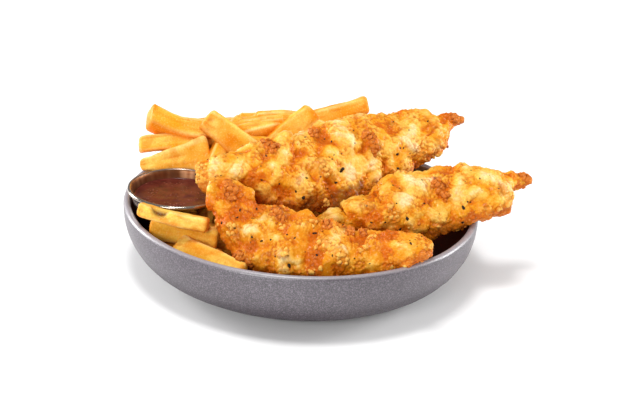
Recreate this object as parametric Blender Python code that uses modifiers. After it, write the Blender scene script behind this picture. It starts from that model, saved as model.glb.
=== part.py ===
"""Chicken tenders on thick-cut fries in a stoneware bowl, with a steel pot of dip.

The bowl stands on the table at z = 0 with its axis through the origin. Lengths in the tables
below are millimetres; MM turns them into metres when a mesh is made.
"""
from math import cos, pi, radians, sin
from random import Random

import bpy
import numpy as np
from mathutils import Vector, noise

MM = 0.001
GAP = 0.4

# The bowl: a coupe with a flat base.
BOWL_RADIUS = 105.0
BOWL_HEIGHT = 43.5
BOWL_BASE = 46.0
BOWL_WALL = 4.3
BOWL_FLOOR = 5.0
BOWL_CURVE = 2.45
BOWL_STEPS = 54

# The steel pot and the dip in it.
POT_AT = (-71.6, -14.0)
POT_TOP = 53.6
POT_HEIGHT = 30.6
POT_RADIUS = 29.8
POT_BASE = 21.0
POT_WALL = 1.0
POT_BEAD = 1.2
POT_CORNER = 4.0
POT_STEPS = 36
DIP_DROP = 5.6
OVER_POT = 14.0

# Each tender is lofted through stations along its length. A row is x, y, z, half width,
# half thickness and the tilt in degrees of its width towards the back.
TENDER_BACK = (
    (-58, -18, 62, 8.5, 7, 33), (-50, -16, 64.5, 10.5, 8.5, 36), (-41, -13, 64, 10.5, 9.5, 38),
    (-30, -8, 62, 16, 12, 40), (-19, -2, 60, 20, 13, 40), (-8, 4, 57, 23, 13.5, 40),
    (4, 10, 57, 25, 13.5, 40), (19, 19, 59, 25, 13.5, 40), (34, 31, 63, 23.5, 13, 40),
    (49, 40, 64, 21.5, 13, 40), (61, 47, 66, 16.5, 11.5, 38), (73, 52.5, 70, 14.5, 10, 36),
    (79, 56.5, 70.5, 11.5, 8, 34), (83.5, 60, 73.2, 7, 5.8, 32), (89, 64, 74.8, 4.6, 4.2, 30),
    (97, 67, 75.5, 2, 2, 30),
)
TENDER_RIGHT = (
    (8, -33, 37.5, 6, 6, 28), (18, -29, 42.5, 7.5, 7.5, 28), (27.5, -28, 42.5, 7, 7.5, 28),
    (34.5, -25.5, 47, 11.5, 11.5, 28), (44, -24, 46, 15, 12.2, 28), (55, -19, 49, 19.5, 13.3, 28),
    (67, -14, 49.5, 21.5, 13.5, 27), (79, -11, 52, 20.5, 13, 25), (90, -9, 55, 21, 12, 22),
    (101, -9.5, 58.6, 18.2, 10.5, 20), (110, -6, 59.6, 16.5, 9.3, 20), (116.5, -1, 61, 8, 6.8, 22),
    (127, 4, 62, 5, 4.2, 25), (134, 5.2, 63, 2.2, 2.2, 25),
)
TENDER_FRONT = (
    (-50, -42, 62, 9, 7.5, 35), (-43, -42.5, 60.5, 10, 8.5, 35), (-33.5, -48.5, 50.5, 14.5, 11, 33),
    (-24, -52.5, 44, 17.8, 12.5, 30), (-13, -58.5, 41.5, 20.5, 13.5, 28), (1, -64, 41, 21, 13.5, 28),
    (15, -67, 40.2, 19.5, 13.5, 28), (29, -69, 39.6, 15.5, 12.5, 26), (43, -71, 43, 14.5, 11, 25),
    (53, -72.5, 47.4, 11, 9, 24), (64, -74.6, 51.2, 7.8, 5.8, 22), (72, -75.7, 52.2, 4.2, 4.2, 20),
)
TENDER_RINGS = 34
TENDER_SIDES = 20
TENDER_POINT = 0.45
SECTION_POWER = 2.4
RELIEF = 2.2

# The crust's relief: the height and the size of its swellings and of its smaller crags.
SWELL_HEIGHT, SWELL_SIZE = 2.6, 16.0
CRAG_HEIGHT, CRAG_SIZE = 1.8, 9.0
LUMP_LENGTH = 150.0

# A lump of crust on a tender: how far along it (0 to 1), the angle round it in degrees,
# its radius and its height.
LUMPS_BACK = (
    (0.27, 40, 8, 4.5), (0.40, 110, 11, 2.5), (0.52, 60, 10, 2.5), (0.66, 95, 13, 3),
    (0.80, 35, 8, 2.5), (0.86, 80, 8, 3), (0.94, 60, 5, 2.5),
)
LUMPS_RIGHT = (
    (0.30, 120, 9, 2), (0.48, 80, 12, 3), (0.62, 20, 9, 2.5), (0.72, 110, 9, 2.5),
    (0.83, 70, 8, 3), (0.92, 70, 5, 2.5),
)
LUMPS_FRONT = (
    (0.10, 70, 10, 3.5), (0.30, 100, 12, 2.5), (0.45, 50, 10, 2.5), (0.60, 110, 11, 2.5),
    (0.85, 60, 7, 2.5),
)

# A fry: its two ends, width, thickness, roll in degrees, how far its middle bows upwards and
# how much of its width is left at either end.
FRIES_SHOWN = (
    (-94, 36, 77, -51, 46, 66, 17, 13, 45, -4, 1.0, 1.0),
    (-99, 29, 61.5, -55, 42, 62, 12, 10.5, 30, 1, 0.9, 1.0),
    (-97, 19, 52.4, -58, 27, 59, 20, 9.5, 112, 0, 0.35, 1.15),
    (-60, 31, 79.5, -27, 27, 55.5, 18, 9, 112, 1, 0.7, 1.0),
    (-80, 60, 62, -22, 66, 65, 11, 10.5, 15, 1, 0.9, 0.9),
    (-44, 72, 62, 6, 76, 66, 12, 10, 20, 2, 0.9, 0.8),
    (-17, 49, 55.5, 3, 62, 77, 21, 9, 112, 1, 1.0, 0.6),
    (-14, 60, 69, 36, 71, 80.5, 13, 11.5, 20, -2, 0.9, 0.95),
    (-44, 34, 62, -4, 42, 59, 13, 10, 60, 1, 0.9, 0.9),
    (-90, -48.5, 53.5, -44, -55, 47, 10.5, 8.5, 20, -1, 0.9, 1.0),
    (-83.5, -47.5, 42.5, -36, -46, 36, 16, 8, 97, 0, 0.9, 0.9),
    (-68, -53, 33, -30, -80, 33, 16, 8, 150, 0, 1.0, 0.7),
    (-74, -46, 29, -44, -54, 27, 12, 11, 0, 0, 0.9, 0.9),
)
FRY_NOSE = 0.14
FRY_END = 0.78
FRY_SHORTEST = 16.0
FRY_CLEARANCE = 0.8
FRIES_MORE = 20
FRY_RINGS = 4
FRY_RINGS_MORE = 3
FRY_SEED = 7
FRY_LENGTH = (38.0, 60.0)
FRY_WIDTH = (11.0, 14.0)
FRY_THICK = (10.0, 12.0)
FRY_KEEP = (0.7, 1.0)
HEAP_REACH = (58.0, 86.0)
HEAP_FROM, HEAP_TO = 40.0, 150.0
FRIES_LOW = 8
LOW_FROM, LOW_TO = 54.0, 150.0
LOW_REACH = (89.5, 80.0)

# The heap of fries as rounded blocks: top, x and half length along x, y and half length along
# y, and how square they are. Near the wall the heap slopes down to the rim.
HEAP_BLOCKS = ((66, -25, 76, 56, 41, 6), (36, -62, 40, -52, 34, 6), (32, -4, 52, -20, 70, 4))
HEAP_SLOPE = 1.2
CORE_UNDER = 4.0
CORE_GAP = 1.2
CORE_TURNS = 36
CORE_RINGS = 7
CORE_EDGE = 94.0
CORE_EDGE_RIGHT = 42.0


def material(name, colour, roughness, metallic=0.0):
    """A plain Principled material."""
    made = bpy.data.materials.new(name)
    made.use_nodes = True
    shader = made.node_tree.nodes["Principled BSDF"]
    shader.inputs["Base Color"].default_value = (*colour, 1.0)
    shader.inputs["Roughness"].default_value = roughness
    shader.inputs["Metallic"].default_value = metallic
    return made


def mesh_object(name, points, faces, into, look=None):
    """An object from points in millimetres, shaded smooth."""
    mesh = bpy.data.meshes.new(name)
    mesh.from_pydata([tuple(float(v) * MM for v in p) for p in points], [], faces)
    mesh.validate()
    mesh.shade_smooth()
    made = bpy.data.objects.new(name, mesh)
    into.objects.link(made)
    if look:
        mesh.materials.append(look)
    return made


def turned(name, profile, steps, into, look, centre=(0.0, 0.0)):
    """A body of revolution: a profile of (radius, height) rows and a Screw modifier."""
    points = [(r, 0.0, z) for r, z in profile]
    edges = [(i, i + 1) for i in range(len(points) - 1)]
    mesh = bpy.data.meshes.new(name)
    mesh.from_pydata([tuple(v * MM for v in p) for p in points], edges, [])
    made = bpy.data.objects.new(name, mesh)
    made.location = (centre[0] * MM, centre[1] * MM, 0.0)
    into.objects.link(made)
    mesh.materials.append(look)
    screw = made.modifiers.new("turn", "SCREW")
    screw.steps = steps
    screw.render_steps = steps
    screw.use_merge_vertices = True
    screw.merge_threshold = 0.00001
    screw.use_smooth_shade = True
    return made


def arc(centre_r, centre_z, radius, first, last, count):
    """Points on an arc from one angle in degrees to another."""
    return [
        (centre_r + radius * cos(radians(first + (last - first) * i / count)),
         centre_z + radius * sin(radians(first + (last - first) * i / count)))
        for i in range(count + 1)
    ]


def wall_radius(z, inner):
    """Radius of the bowl's wall at a height, outside or inside."""
    foot, drop = (BOWL_FLOOR, BOWL_WALL) if inner else (0.0, 0.0)
    rise = min(max((z - foot) / (BOWL_HEIGHT - foot), 0.0), 1.0)
    reach = BOWL_RADIUS - drop - BOWL_BASE
    return BOWL_BASE + reach * (1.0 - (1.0 - rise) ** BOWL_CURVE) ** (1.0 / BOWL_CURVE)


def wall_curve(inner, count):
    """(radius, height) points up the bowl's wall, from where it leaves the flat."""
    foot, drop = (BOWL_FLOOR, BOWL_WALL) if inner else (0.0, 0.0)
    points = []
    for i in range(count + 1):
        turn = pi / 2 * i / count
        r = BOWL_BASE + (BOWL_RADIUS - drop - BOWL_BASE) * sin(turn) ** (2 / BOWL_CURVE)
        z = foot + (BOWL_HEIGHT - foot) * (1.0 - cos(turn) ** (2 / BOWL_CURVE))
        points.append((r, z))
    return points


def make_bowl(into, look):
    lip = BOWL_WALL / 2
    inside = [(0.0, BOWL_FLOOR), (24.0, BOWL_FLOOR)] + wall_curve(True, 6)[:-1]
    over = arc(BOWL_RADIUS - lip, BOWL_HEIGHT - lip, lip, 180, 0, 5)
    inside = [p for p in inside if p[1] < BOWL_HEIGHT - lip]
    outside = [p for p in reversed(wall_curve(False, 7)) if p[1] < BOWL_HEIGHT - lip]
    base = [(24.0, 0.0), (0.0, 0.0)]
    return turned("bowl", inside + over + outside + base, BOWL_STEPS, into, look)


def pot_radius(z):
    """Outer radius of the pot's straight wall at a height."""
    rise = (z - (POT_TOP - POT_HEIGHT)) / POT_HEIGHT
    return POT_BASE + (POT_RADIUS - POT_BEAD - POT_BASE) * rise


def make_pot(into, look):
    bead = POT_BEAD
    foot = POT_TOP - POT_HEIGHT
    round_out = POT_CORNER
    round_in = round_out - POT_WALL
    floor = foot + POT_WALL
    neck = POT_TOP - 2 * bead
    inside = [(0.0, floor), (pot_radius(floor) - POT_WALL - round_in, floor)]
    inside += arc(pot_radius(floor) - POT_WALL - round_in, floor + round_in, round_in, -50, -10, 2)
    inside += [(pot_radius(neck) - POT_WALL, neck), (pot_radius(POT_TOP) - POT_WALL, POT_TOP - 0.6)]
    over = arc(POT_RADIUS - bead, POT_TOP - bead, bead, 115, -90, 5)
    outside = [(pot_radius(neck), neck - 0.3)]
    outside += arc(pot_radius(foot) - round_out, foot + round_out, round_out, 0, -90, 3)
    profile = inside + over + outside + [(0.0, foot)]
    return turned("dip_pot", profile, POT_STEPS, into, look, POT_AT)


def make_dip(into, look):
    floor = POT_TOP - POT_HEIGHT + POT_WALL + GAP
    top = POT_TOP - DIP_DROP
    edge = pot_radius(top) - POT_WALL - GAP
    foot = pot_radius(floor) - POT_WALL - GAP - 3.0
    profile = [(0.0, top), (edge * 0.5, top + 0.15), (edge - 1.5, top), (edge, top + 0.5)]
    profile += [(foot + 2.6, floor + 3.2), (foot, floor), (0.0, floor)]
    return turned("dip_sauce", profile, POT_STEPS, into, look, POT_AT)


def smooth_rows(rows, count):
    """Rows interpolated by a Catmull-Rom spline at equal steps of length."""
    rows = np.array(rows, float)
    ends = np.vstack([2 * rows[0] - rows[1], rows, 2 * rows[-1] - rows[-2]])
    fine = []
    for i in range(1, len(ends) - 2):
        a, b, c, d = ends[i - 1:i + 3]
        for t in np.arange(12) / 12:
            fine.append(0.5 * (2 * b + (c - a) * t + (2 * a - 5 * b + 4 * c - d) * t ** 2
                               + (3 * b - a - 3 * c + d) * t ** 3))
    fine = np.array(fine + [rows[-1]])
    run = np.r_[0, np.cumsum(np.linalg.norm(np.diff(fine[:, :3], axis=0), axis=1))]
    at = np.linspace(0, run[-1], count)
    return np.stack([np.interp(at, run, fine[:, k]) for k in range(fine.shape[1])], 1)


def crust(p, seed):
    """Height of the crust's relief in millimetres at a point."""
    p = Vector(p)
    swell = noise.noise(p / SWELL_SIZE + Vector((seed, 0, 0)))
    crag = noise.noise(p / CRAG_SIZE + Vector((0, seed, 0)))
    return SWELL_HEIGHT * swell + CRAG_HEIGHT * crag


def frames(rows):
    """Centres with the direction of the length, the width and the face for each row."""
    centre = rows[:, :3]
    along = np.gradient(centre, axis=0)
    along /= np.linalg.norm(along, axis=1)[:, None]
    tilt = np.radians(rows[:, 5])
    wide = np.stack([0 * tilt, np.cos(tilt), np.sin(tilt)], 1)
    wide -= along * np.sum(wide * along, axis=1)[:, None]
    wide /= np.linalg.norm(wide, axis=1)[:, None]
    return centre, along, wide, np.cross(along, wide)


def tender_points(rows, lumps, seed, rings, sides):
    """Rings of points round a tender, with a pole at either end."""
    rows = smooth_rows(rows, rings)
    centre, along, wide, face = frames(rows)
    points = []
    for i in range(rings):
        a, b = rows[i, 3], rows[i, 4]
        for j in range(sides):
            turn = 2 * pi * j / sides
            c, s = cos(turn), sin(turn)
            full = (abs(c) ** SECTION_POWER + abs(s) ** SECTION_POWER) ** (-1 / SECTION_POWER)
            spot = centre[i] + (wide[i] * a * c + face[i] * b * s) * full
            out = wide[i] * c / a + face[i] * s / b
            out /= np.linalg.norm(out)
            rise = crust(spot, seed) * min(1.0, b / 10) * (0.7 + 0.3 * s)
            for where, angle, radius, height in lumps:
                away = (i / (rings - 1) - where) * LUMP_LENGTH
                round_it = (a + b) / 2 * abs((turn - radians(angle) + pi) % (2 * pi) - pi)
                rise += height * np.exp(-(away ** 2 + round_it ** 2) / (0.6 * radius) ** 2)
            points.append(spot + out * rise)
    first = centre[0] - along[0] * rows[0, 4] * TENDER_POINT
    last = centre[-1] + along[-1] * rows[-1, 4] * TENDER_POINT
    return points + [first, last]


def tube_faces(rings, sides):
    """Triangles over rings of points that close on a pole at either end."""
    faces = []
    for i in range(rings - 1):
        for j in range(sides):
            a, b = i * sides + j, i * sides + (j + 1) % sides
            faces.append((a, b, b + sides))
            faces.append((a, b + sides, a + sides))
    first, last = rings * sides, rings * sides + 1
    top = (rings - 1) * sides
    for j in range(sides):
        faces.append((first, (j + 1) % sides, j))
        faces.append((last, top + j, top + (j + 1) % sides))
    return faces


def outward(faces, points):
    """The faces, turned over where they would enclose a negative volume."""
    p = np.array(points, float)
    f = np.array(faces)
    volume = np.einsum("ij,ij->i", p[f[:, 0]], np.cross(p[f[:, 1]], p[f[:, 2]])).sum()
    return faces if volume > 0 else [tuple(reversed(t)) for t in faces]


def make_tender(name, rows, lumps, seed, into, look):
    points = tender_points(rows, lumps, seed, TENDER_RINGS, TENDER_SIDES)
    faces = outward(tube_faces(TENDER_RINGS, TENDER_SIDES), points)
    return mesh_object(name, points, faces, into, look)


class Clearance:
    """Tells how far points are from the bowl's wall, the pot and the tenders."""

    def __init__(self, tenders):
        self.tenders = []
        for rows in tenders:
            rows = smooth_rows(rows, 60)
            self.tenders.append((rows, *frames(rows)))

    def tender_below(self, x, y):
        """Height of the lowest tender surface above a spot, or a large number."""
        lowest = 1000.0
        for rows, centre, _, _, _ in self.tenders:
            i = int(np.argmin(abs(centre[:, 0] - x)))
            if abs(centre[i, 0] - x) > 4 + rows[i, 4]:
                continue
            a, b, tilt = rows[i, 3] + RELIEF, rows[i, 4] + RELIEF, radians(rows[i, 5])
            reach = np.hypot(a * cos(tilt), b * sin(tilt))
            side = (y - centre[i, 1]) / reach
            if abs(side) < 1:
                drop = np.hypot(a * sin(tilt), b * cos(tilt))
                skew = (a * a - b * b) * sin(tilt) * cos(tilt) / reach * side
                depth = a * b / reach * np.sqrt(1 - side * side)
                lowest = min(lowest, centre[i, 2] + skew - min(depth, drop))
        return lowest

    def crosses(self, p):
        """Whether a point is in, or within a small gap of, something else than fries."""
        x, y, z = p
        r = np.hypot(x, y)
        if z < BOWL_HEIGHT + FRY_CLEARANCE and r > wall_radius(z, True) - FRY_CLEARANCE:
            return True
        from_pot = np.hypot(x - POT_AT[0], y - POT_AT[1])
        if POT_TOP - 3 < z < POT_TOP + OVER_POT and from_pot < POT_RADIUS + FRY_CLEARANCE:
            return True
        if POT_TOP - POT_HEIGHT - 1 < z < POT_TOP and from_pot < pot_radius(z) + FRY_CLEARANCE:
            return True
        for rows, centre, along, wide, face in self.tenders:
            i = int(np.argmin(np.linalg.norm(centre - p, axis=1)))
            d = p - centre[i]
            u = (d @ wide[i]) / (rows[i, 3] + RELIEF)
            v = (d @ face[i]) / (rows[i, 4] + RELIEF)
            w = max(0.0, abs(d @ along[i]) - 2.0) / (rows[i, 4] + RELIEF)
            if u * u + v * v + w * w < 1.0:
                return True
        return False


def fry_points(fry, rings):
    """Rings of eight points along a fry, with a pole at either end."""
    start, end = Vector(fry[0:3]), Vector(fry[3:6])
    width, thick, roll, bow, left, right = fry[6:12]
    along = (end - start).normalized()
    side = along.cross(Vector((0, 0, 1))).normalized()
    up = side.cross(along)
    side, up = (side * cos(radians(roll)) + up * sin(radians(roll)),
                up * cos(radians(roll)) - side * sin(radians(roll)))
    points = []
    for i in range(rings):
        t = i / (rings - 1)
        middle = start.lerp(end, t) + Vector((0, 0, bow * 4 * t * (1 - t)))
        keep = left + (right - left) * t
        ends = FRY_END if i in (0, rings - 1) else 1.0
        w, h = width / 2 * keep * ends, thick / 2 * (0.4 + 0.6 * keep) * ends
        for u, v in ((1, 0.6), (0.7, 1), (-0.7, 1), (-1, 0.6), (-1, -0.6), (-0.7, -1), (0.7, -1),
                     (1, -0.6)):
            points.append(middle + side * (w * u) + up * (h * v))
    nose = thick * FRY_NOSE
    return points + [start - along * nose, end + along * nose]


def fitted(fry, clearance):
    """The fry, shortened at the end that crosses something until it is clear, or None."""
    fry = list(fry)
    for _ in range(16):
        points = fry_points(fry, 7)
        hits = [i for i, p in enumerate(points[:56]) if clearance.crosses(np.array(p))]
        if not hits:
            break
        start, end = Vector(fry[0:3]), Vector(fry[3:6])
        if sum(hits) / len(hits) < 28:
            fry[0:3] = start.lerp(end, 0.06)
        else:
            fry[3:6] = start.lerp(end, 0.94)
    else:
        return None
    length = (Vector(fry[3:6]) - Vector(fry[0:3])).length
    return fry if length > FRY_SHORTEST else None


def heap_height(x, y):
    """Height of the heap of fries over the table, before it is fitted round the rest."""
    blocks = [top * np.exp(-((x - at_x) / half_x) ** square - ((y - at_y) / half_y) ** square)
              for top, at_x, half_x, at_y, half_y, square in HEAP_BLOCKS]
    return min(max(blocks), BOWL_HEIGHT + HEAP_SLOPE * (CORE_EDGE - np.hypot(x, y)))


def core_edge(turn):
    """How far the heap reaches from the bowl's axis in a direction; the right side is bare."""
    off = abs((turn + radians(18) + pi) % (2 * pi) - pi)
    share = min(max((off - radians(42)) / radians(34), 0.0), 1.0)
    return CORE_EDGE_RIGHT + (CORE_EDGE - CORE_EDGE_RIGHT) * share * share * (3 - 2 * share)


def core_top(x, y, clearance):
    """Top of the heap's core at a spot, under the fries that lie on it."""
    top = heap_height(x, y) - CORE_UNDER + 1.5 * noise.noise(Vector((x, y, 0)) / 11)
    if np.hypot(x - POT_AT[0], y - POT_AT[1]) < POT_RADIUS + 9:
        top = min(top, POT_TOP - POT_HEIGHT - GAP)
    nearby = [clearance.tender_below(x + dx, y + dy) for dx in (-7, 0, 7) for dy in (-7, 0, 7)]
    return min([top] + [h - 1.0 for h in nearby])


def core_points(clearance, turns, rings):
    """Top and bottom grids of the core, which follows the bowl's inside with a gap."""
    top, bottom = [], []
    for k in range(1, rings + 1):
        for j in range(turns):
            turn = 2 * pi * j / turns
            r = core_edge(turn) * k / rings
            x, y = r * cos(turn), r * sin(turn)
            rise = max(0.0, min(1.0, (r - BOWL_BASE) / (BOWL_RADIUS - BOWL_WALL - BOWL_BASE)))
            floor = BOWL_HEIGHT - (BOWL_HEIGHT - BOWL_FLOOR) * (
                1 - rise ** BOWL_CURVE) ** (1 / BOWL_CURVE) + CORE_GAP
            bottom.append((x, y, floor))
            top.append((x, y, max(floor + 1.5, core_top(x, y, clearance))))
    centre_top = max(BOWL_FLOOR + 3, core_top(0.0, 0.0, clearance))
    return top, bottom, (0, 0, centre_top), (0, 0, BOWL_FLOOR + CORE_GAP)


def make_core(clearance, into):
    turns, rings = CORE_TURNS, CORE_RINGS
    top, bottom, apex, foot = core_points(clearance, turns, rings)
    points = top + bottom + [apex, foot]
    low = len(top)
    faces = []
    for k in range(rings - 1):
        for j in range(turns):
            a, b = k * turns + j, k * turns + (j + 1) % turns
            faces += [(a, a + turns, b + turns), (a, b + turns, b)]
            faces += [(low + a, low + b + turns, low + a + turns), (low + a, low + b, low + b + turns)]
    last = (rings - 1) * turns
    for j in range(turns):
        n = (j + 1) % turns
        faces += [(2 * low, j, n), (2 * low + 1, low + n, low + j)]
        faces += [(last + j, low + last + j, low + last + n), (last + j, low + last + n, last + n)]
    return mesh_object("fries", points, outward(faces, points), into)


def more_fries(clearance):
    """Fries spread over the heap's back and along its foot, sized by a seeded draw."""
    draw = Random(FRY_SEED)
    made = []
    for k in range(FRIES_MORE):
        around = radians(HEAP_FROM + (HEAP_TO - HEAP_FROM) * (k + 0.5) / FRIES_MORE)
        r = HEAP_REACH[0] + (HEAP_REACH[1] - HEAP_REACH[0]) * (k * 0.618 % 1)
        x, y = r * cos(around), r * sin(around)
        turn = around + radians(90 + draw.gauss(0, 26))
        half = draw.uniform(*FRY_LENGTH) / 2
        dx, dy = half * cos(turn), half * sin(turn)
        ends = [(x + side * dx, y + side * dy) for side in (-1, 1)]
        low = heap_height(x, y) - 13
        high = [max(heap_height(*end), low) + draw.uniform(0, 3) for end in ends]
        fry = (*ends[0], high[0], *ends[1], high[1], draw.uniform(*FRY_WIDTH),
               draw.uniform(*FRY_THICK), draw.uniform(-40, 40), draw.uniform(0, 4),
               draw.uniform(*FRY_KEEP), draw.uniform(*FRY_KEEP))
        made.append(fitted(fry, clearance))
    for k in range(FRIES_LOW):
        around = radians(LOW_FROM + (LOW_TO - LOW_FROM) * (k + 0.5) / FRIES_LOW)
        r = LOW_REACH[k % 2]
        x, y = r * cos(around), r * sin(around)
        turn = around + radians(90 + draw.gauss(0, 10))
        half = draw.uniform(*FRY_LENGTH) / 2
        dx, dy = half * cos(turn), half * sin(turn)
        high = heap_height(x, y) + draw.uniform(-4, -1)
        fry = (x - dx, y - dy, high, x + dx, y + dy, high + draw.uniform(-2, 2),
               draw.uniform(*FRY_WIDTH), draw.uniform(*FRY_THICK), draw.uniform(10, 50), 0,
               draw.uniform(*FRY_KEEP), draw.uniform(*FRY_KEEP))
        made.append(fitted(fry, clearance))
    return made


def keep_largest(ob):
    """Drop loose scraps and shells sealed inside, so that one closed body is left."""
    mesh = ob.data
    parent = list(range(len(mesh.vertices)))

    def root(i):
        while parent[i] != i:
            parent[i] = parent[parent[i]]
            i = parent[i]
        return i

    for edge in mesh.edges:
        a, b = (root(v) for v in edge.vertices)
        parent[a] = b
    group = np.array([root(i) for i in range(len(parent))])
    best = np.argmax(np.bincount(group))
    keep = [i for i in range(len(parent)) if group[i] == best]
    number = {v: i for i, v in enumerate(keep)}
    points = [tuple(mesh.vertices[v].co) for v in keep]
    faces = [tuple(number[v] for v in f.vertices) for f in mesh.polygons if f.vertices[0] in number]
    clean = bpy.data.meshes.new(mesh.name)
    clean.from_pydata(points, [], faces)
    clean.shade_smooth()
    for look in mesh.materials:
        clean.materials.append(look)
    ob.data = clean


def make_fries(clearance, into, cutters, look):
    heap = make_core(clearance, into)
    heap.data.materials.append(look)
    shown = [(fitted(fry, clearance), FRY_RINGS) for fry in FRIES_SHOWN]
    more = [(fry, FRY_RINGS_MORE) for fry in more_fries(clearance)]
    for fry, rings in shown + more:
        if fry:
            points = fry_points(fry, rings)
            mesh_object("fry", points, outward(tube_faces(rings, 8), points), cutters, look)
    join = heap.modifiers.new("join", "BOOLEAN")
    join.operation = "UNION"
    join.operand_type = "COLLECTION"
    join.collection = cutters
    join.solver = "EXACT"
    bpy.context.view_layer.update()
    whole = heap.evaluated_get(bpy.context.evaluated_depsgraph_get())
    joined = bpy.data.meshes.new_from_object(whole)
    heap.modifiers.clear()
    heap.data = joined
    for fry in list(cutters.objects):
        bpy.data.objects.remove(fry, do_unlink=True)
    keep_largest(heap)
    return heap


def main():
    for ob in list(bpy.data.objects):
        bpy.data.objects.remove(ob, do_unlink=True)
    parts = bpy.data.collections.new("chicken_tenders")
    cutters = bpy.data.collections.new("joined_fries")
    cutters.hide_render = True
    for group in (parts, cutters):
        bpy.context.scene.collection.children.link(group)
    stoneware = material("stoneware", (0.23, 0.21, 0.22), 0.4)
    steel = material("steel", (0.62, 0.60, 0.58), 0.25, 1.0)
    sauce = material("sauce", (0.21, 0.05, 0.03), 0.25)
    crumb = material("crust", (0.85, 0.48, 0.12), 0.6)
    potato = material("potato", (0.87, 0.45, 0.06), 0.5)
    make_bowl(parts, stoneware)
    make_pot(parts, steel)
    make_dip(parts, sauce)
    make_tender("tender_back", TENDER_BACK, LUMPS_BACK, 3.7, parts, crumb)
    make_tender("tender_right", TENDER_RIGHT, LUMPS_RIGHT, 11.2, parts, crumb)
    make_tender("tender_front", TENDER_FRONT, LUMPS_FRONT, 23.9, parts, crumb)
    clearance = Clearance((TENDER_BACK, TENDER_RIGHT, TENDER_FRONT))
    make_fries(clearance, parts, cutters, potato)


main()
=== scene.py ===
"""Looks of the chicken tenders on fries: every CAD node gets its detailed stand-in here.

Lengths in the tables are millimetres, as in the part's source; MM turns them into metres.
"""

from collections import namedtuple
from math import cos, pi, radians, sin
from random import Random

import bmesh
import bpy
import numpy as np
from mathutils import Matrix, Vector, noise
from mathutils.bvhtree import BVHTree


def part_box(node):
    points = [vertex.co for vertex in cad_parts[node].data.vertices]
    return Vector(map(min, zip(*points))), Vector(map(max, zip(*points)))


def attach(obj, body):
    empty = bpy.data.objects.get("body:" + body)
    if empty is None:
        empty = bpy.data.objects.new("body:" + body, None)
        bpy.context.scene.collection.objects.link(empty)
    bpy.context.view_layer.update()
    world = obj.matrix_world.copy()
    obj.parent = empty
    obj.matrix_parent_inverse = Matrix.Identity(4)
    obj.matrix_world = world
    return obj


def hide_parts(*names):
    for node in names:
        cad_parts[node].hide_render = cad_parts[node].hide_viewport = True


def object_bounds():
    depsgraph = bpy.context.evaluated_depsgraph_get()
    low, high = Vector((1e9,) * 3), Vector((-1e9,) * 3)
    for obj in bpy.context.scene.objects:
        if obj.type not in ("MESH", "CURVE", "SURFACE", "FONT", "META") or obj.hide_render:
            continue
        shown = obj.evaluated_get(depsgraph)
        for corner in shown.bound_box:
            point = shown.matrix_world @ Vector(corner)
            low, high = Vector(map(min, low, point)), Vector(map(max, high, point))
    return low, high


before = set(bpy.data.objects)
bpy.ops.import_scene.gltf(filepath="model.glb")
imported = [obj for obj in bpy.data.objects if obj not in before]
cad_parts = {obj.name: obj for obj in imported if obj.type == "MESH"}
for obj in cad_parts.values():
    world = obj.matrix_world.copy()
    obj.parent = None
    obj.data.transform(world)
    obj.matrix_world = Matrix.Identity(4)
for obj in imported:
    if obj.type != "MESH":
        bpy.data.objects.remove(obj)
CAD_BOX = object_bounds()
MM = 0.001

# The camera of the photograph: its tilt below the horizon, its roll, how far it stands from the
# middle of the bowl's mouth and where on that plane it looks.
CAMERA_TILT = radians(23.3)
CAMERA_ROLL = radians(3.25)
CAMERA_DISTANCE = 950.0
CAMERA_LENS = 92.0
CAMERA_SENSOR = 36.0
CAMERA_AIM = (7.4, -0.9)
PHOTO_SIZE = (628, 405)

# The bowl, the pot and the dip, with the part's own values.
GAP = 0.4
BOWL_RADIUS = 105.0
BOWL_HEIGHT = 43.5
BOWL_BASE = 46.0
BOWL_WALL = 4.3
BOWL_FLOOR = 5.0
BOWL_CURVE = 2.45
POT_AT = (-71.6, -14.0)
POT_TOP = 53.6
POT_HEIGHT = 30.6
POT_RADIUS = 29.8
POT_BASE = 21.0
POT_WALL = 1.0
POT_BEAD = 1.2
POT_CORNER = 4.0
DIP_DROP = 5.6
OVER_POT = 14.0

# How many points go round each turned piece.
BOWL_TURNS = 224
POT_TURNS = 128
DIP_TURNS = 160

# Stations along each tender: x, y, z, half width, half thickness, tilt in degrees.
TENDER_BACK = (
    (-58, -18, 62, 8.5, 7, 33), (-50, -16, 64.5, 10.5, 8.5, 36), (-41, -13, 64, 10.5, 9.5, 38),
    (-30, -8, 62, 16, 12, 40), (-19, -2, 60, 20, 13, 40), (-8, 4, 57, 23, 13.5, 40),
    (4, 10, 57, 25, 13.5, 40), (19, 19, 59, 25, 13.5, 40), (34, 31, 63, 23.5, 13, 40),
    (49, 40, 64, 21.5, 13, 40), (61, 47, 66, 16.5, 11.5, 38), (73, 52.5, 70, 14.5, 10, 36),
    (79, 56.5, 70.5, 11.5, 8, 34), (83.5, 60, 73.2, 7, 5.8, 32), (89, 64, 74.8, 4.6, 4.2, 30),
    (97, 67, 75.5, 2, 2, 30),
)
TENDER_RIGHT = (
    (8, -33, 37.5, 6, 6, 28), (18, -29, 42.5, 7.5, 7.5, 28), (27.5, -28, 42.5, 7, 7.5, 28),
    (34.5, -25.5, 47, 11.5, 11.5, 28), (44, -24, 46, 15, 12.2, 28), (55, -19, 49, 19.5, 13.3, 28),
    (67, -14, 49.5, 21.5, 13.5, 27), (79, -11, 52, 20.5, 13, 25), (90, -9, 55, 21, 12, 22),
    (101, -9.5, 58.6, 18.2, 10.5, 20), (110, -6, 59.6, 16.5, 9.3, 20), (116.5, -1, 61, 8, 6.8, 22),
    (127, 4, 62, 5, 4.2, 25), (134, 5.2, 63, 2.2, 2.2, 25),
)
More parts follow.
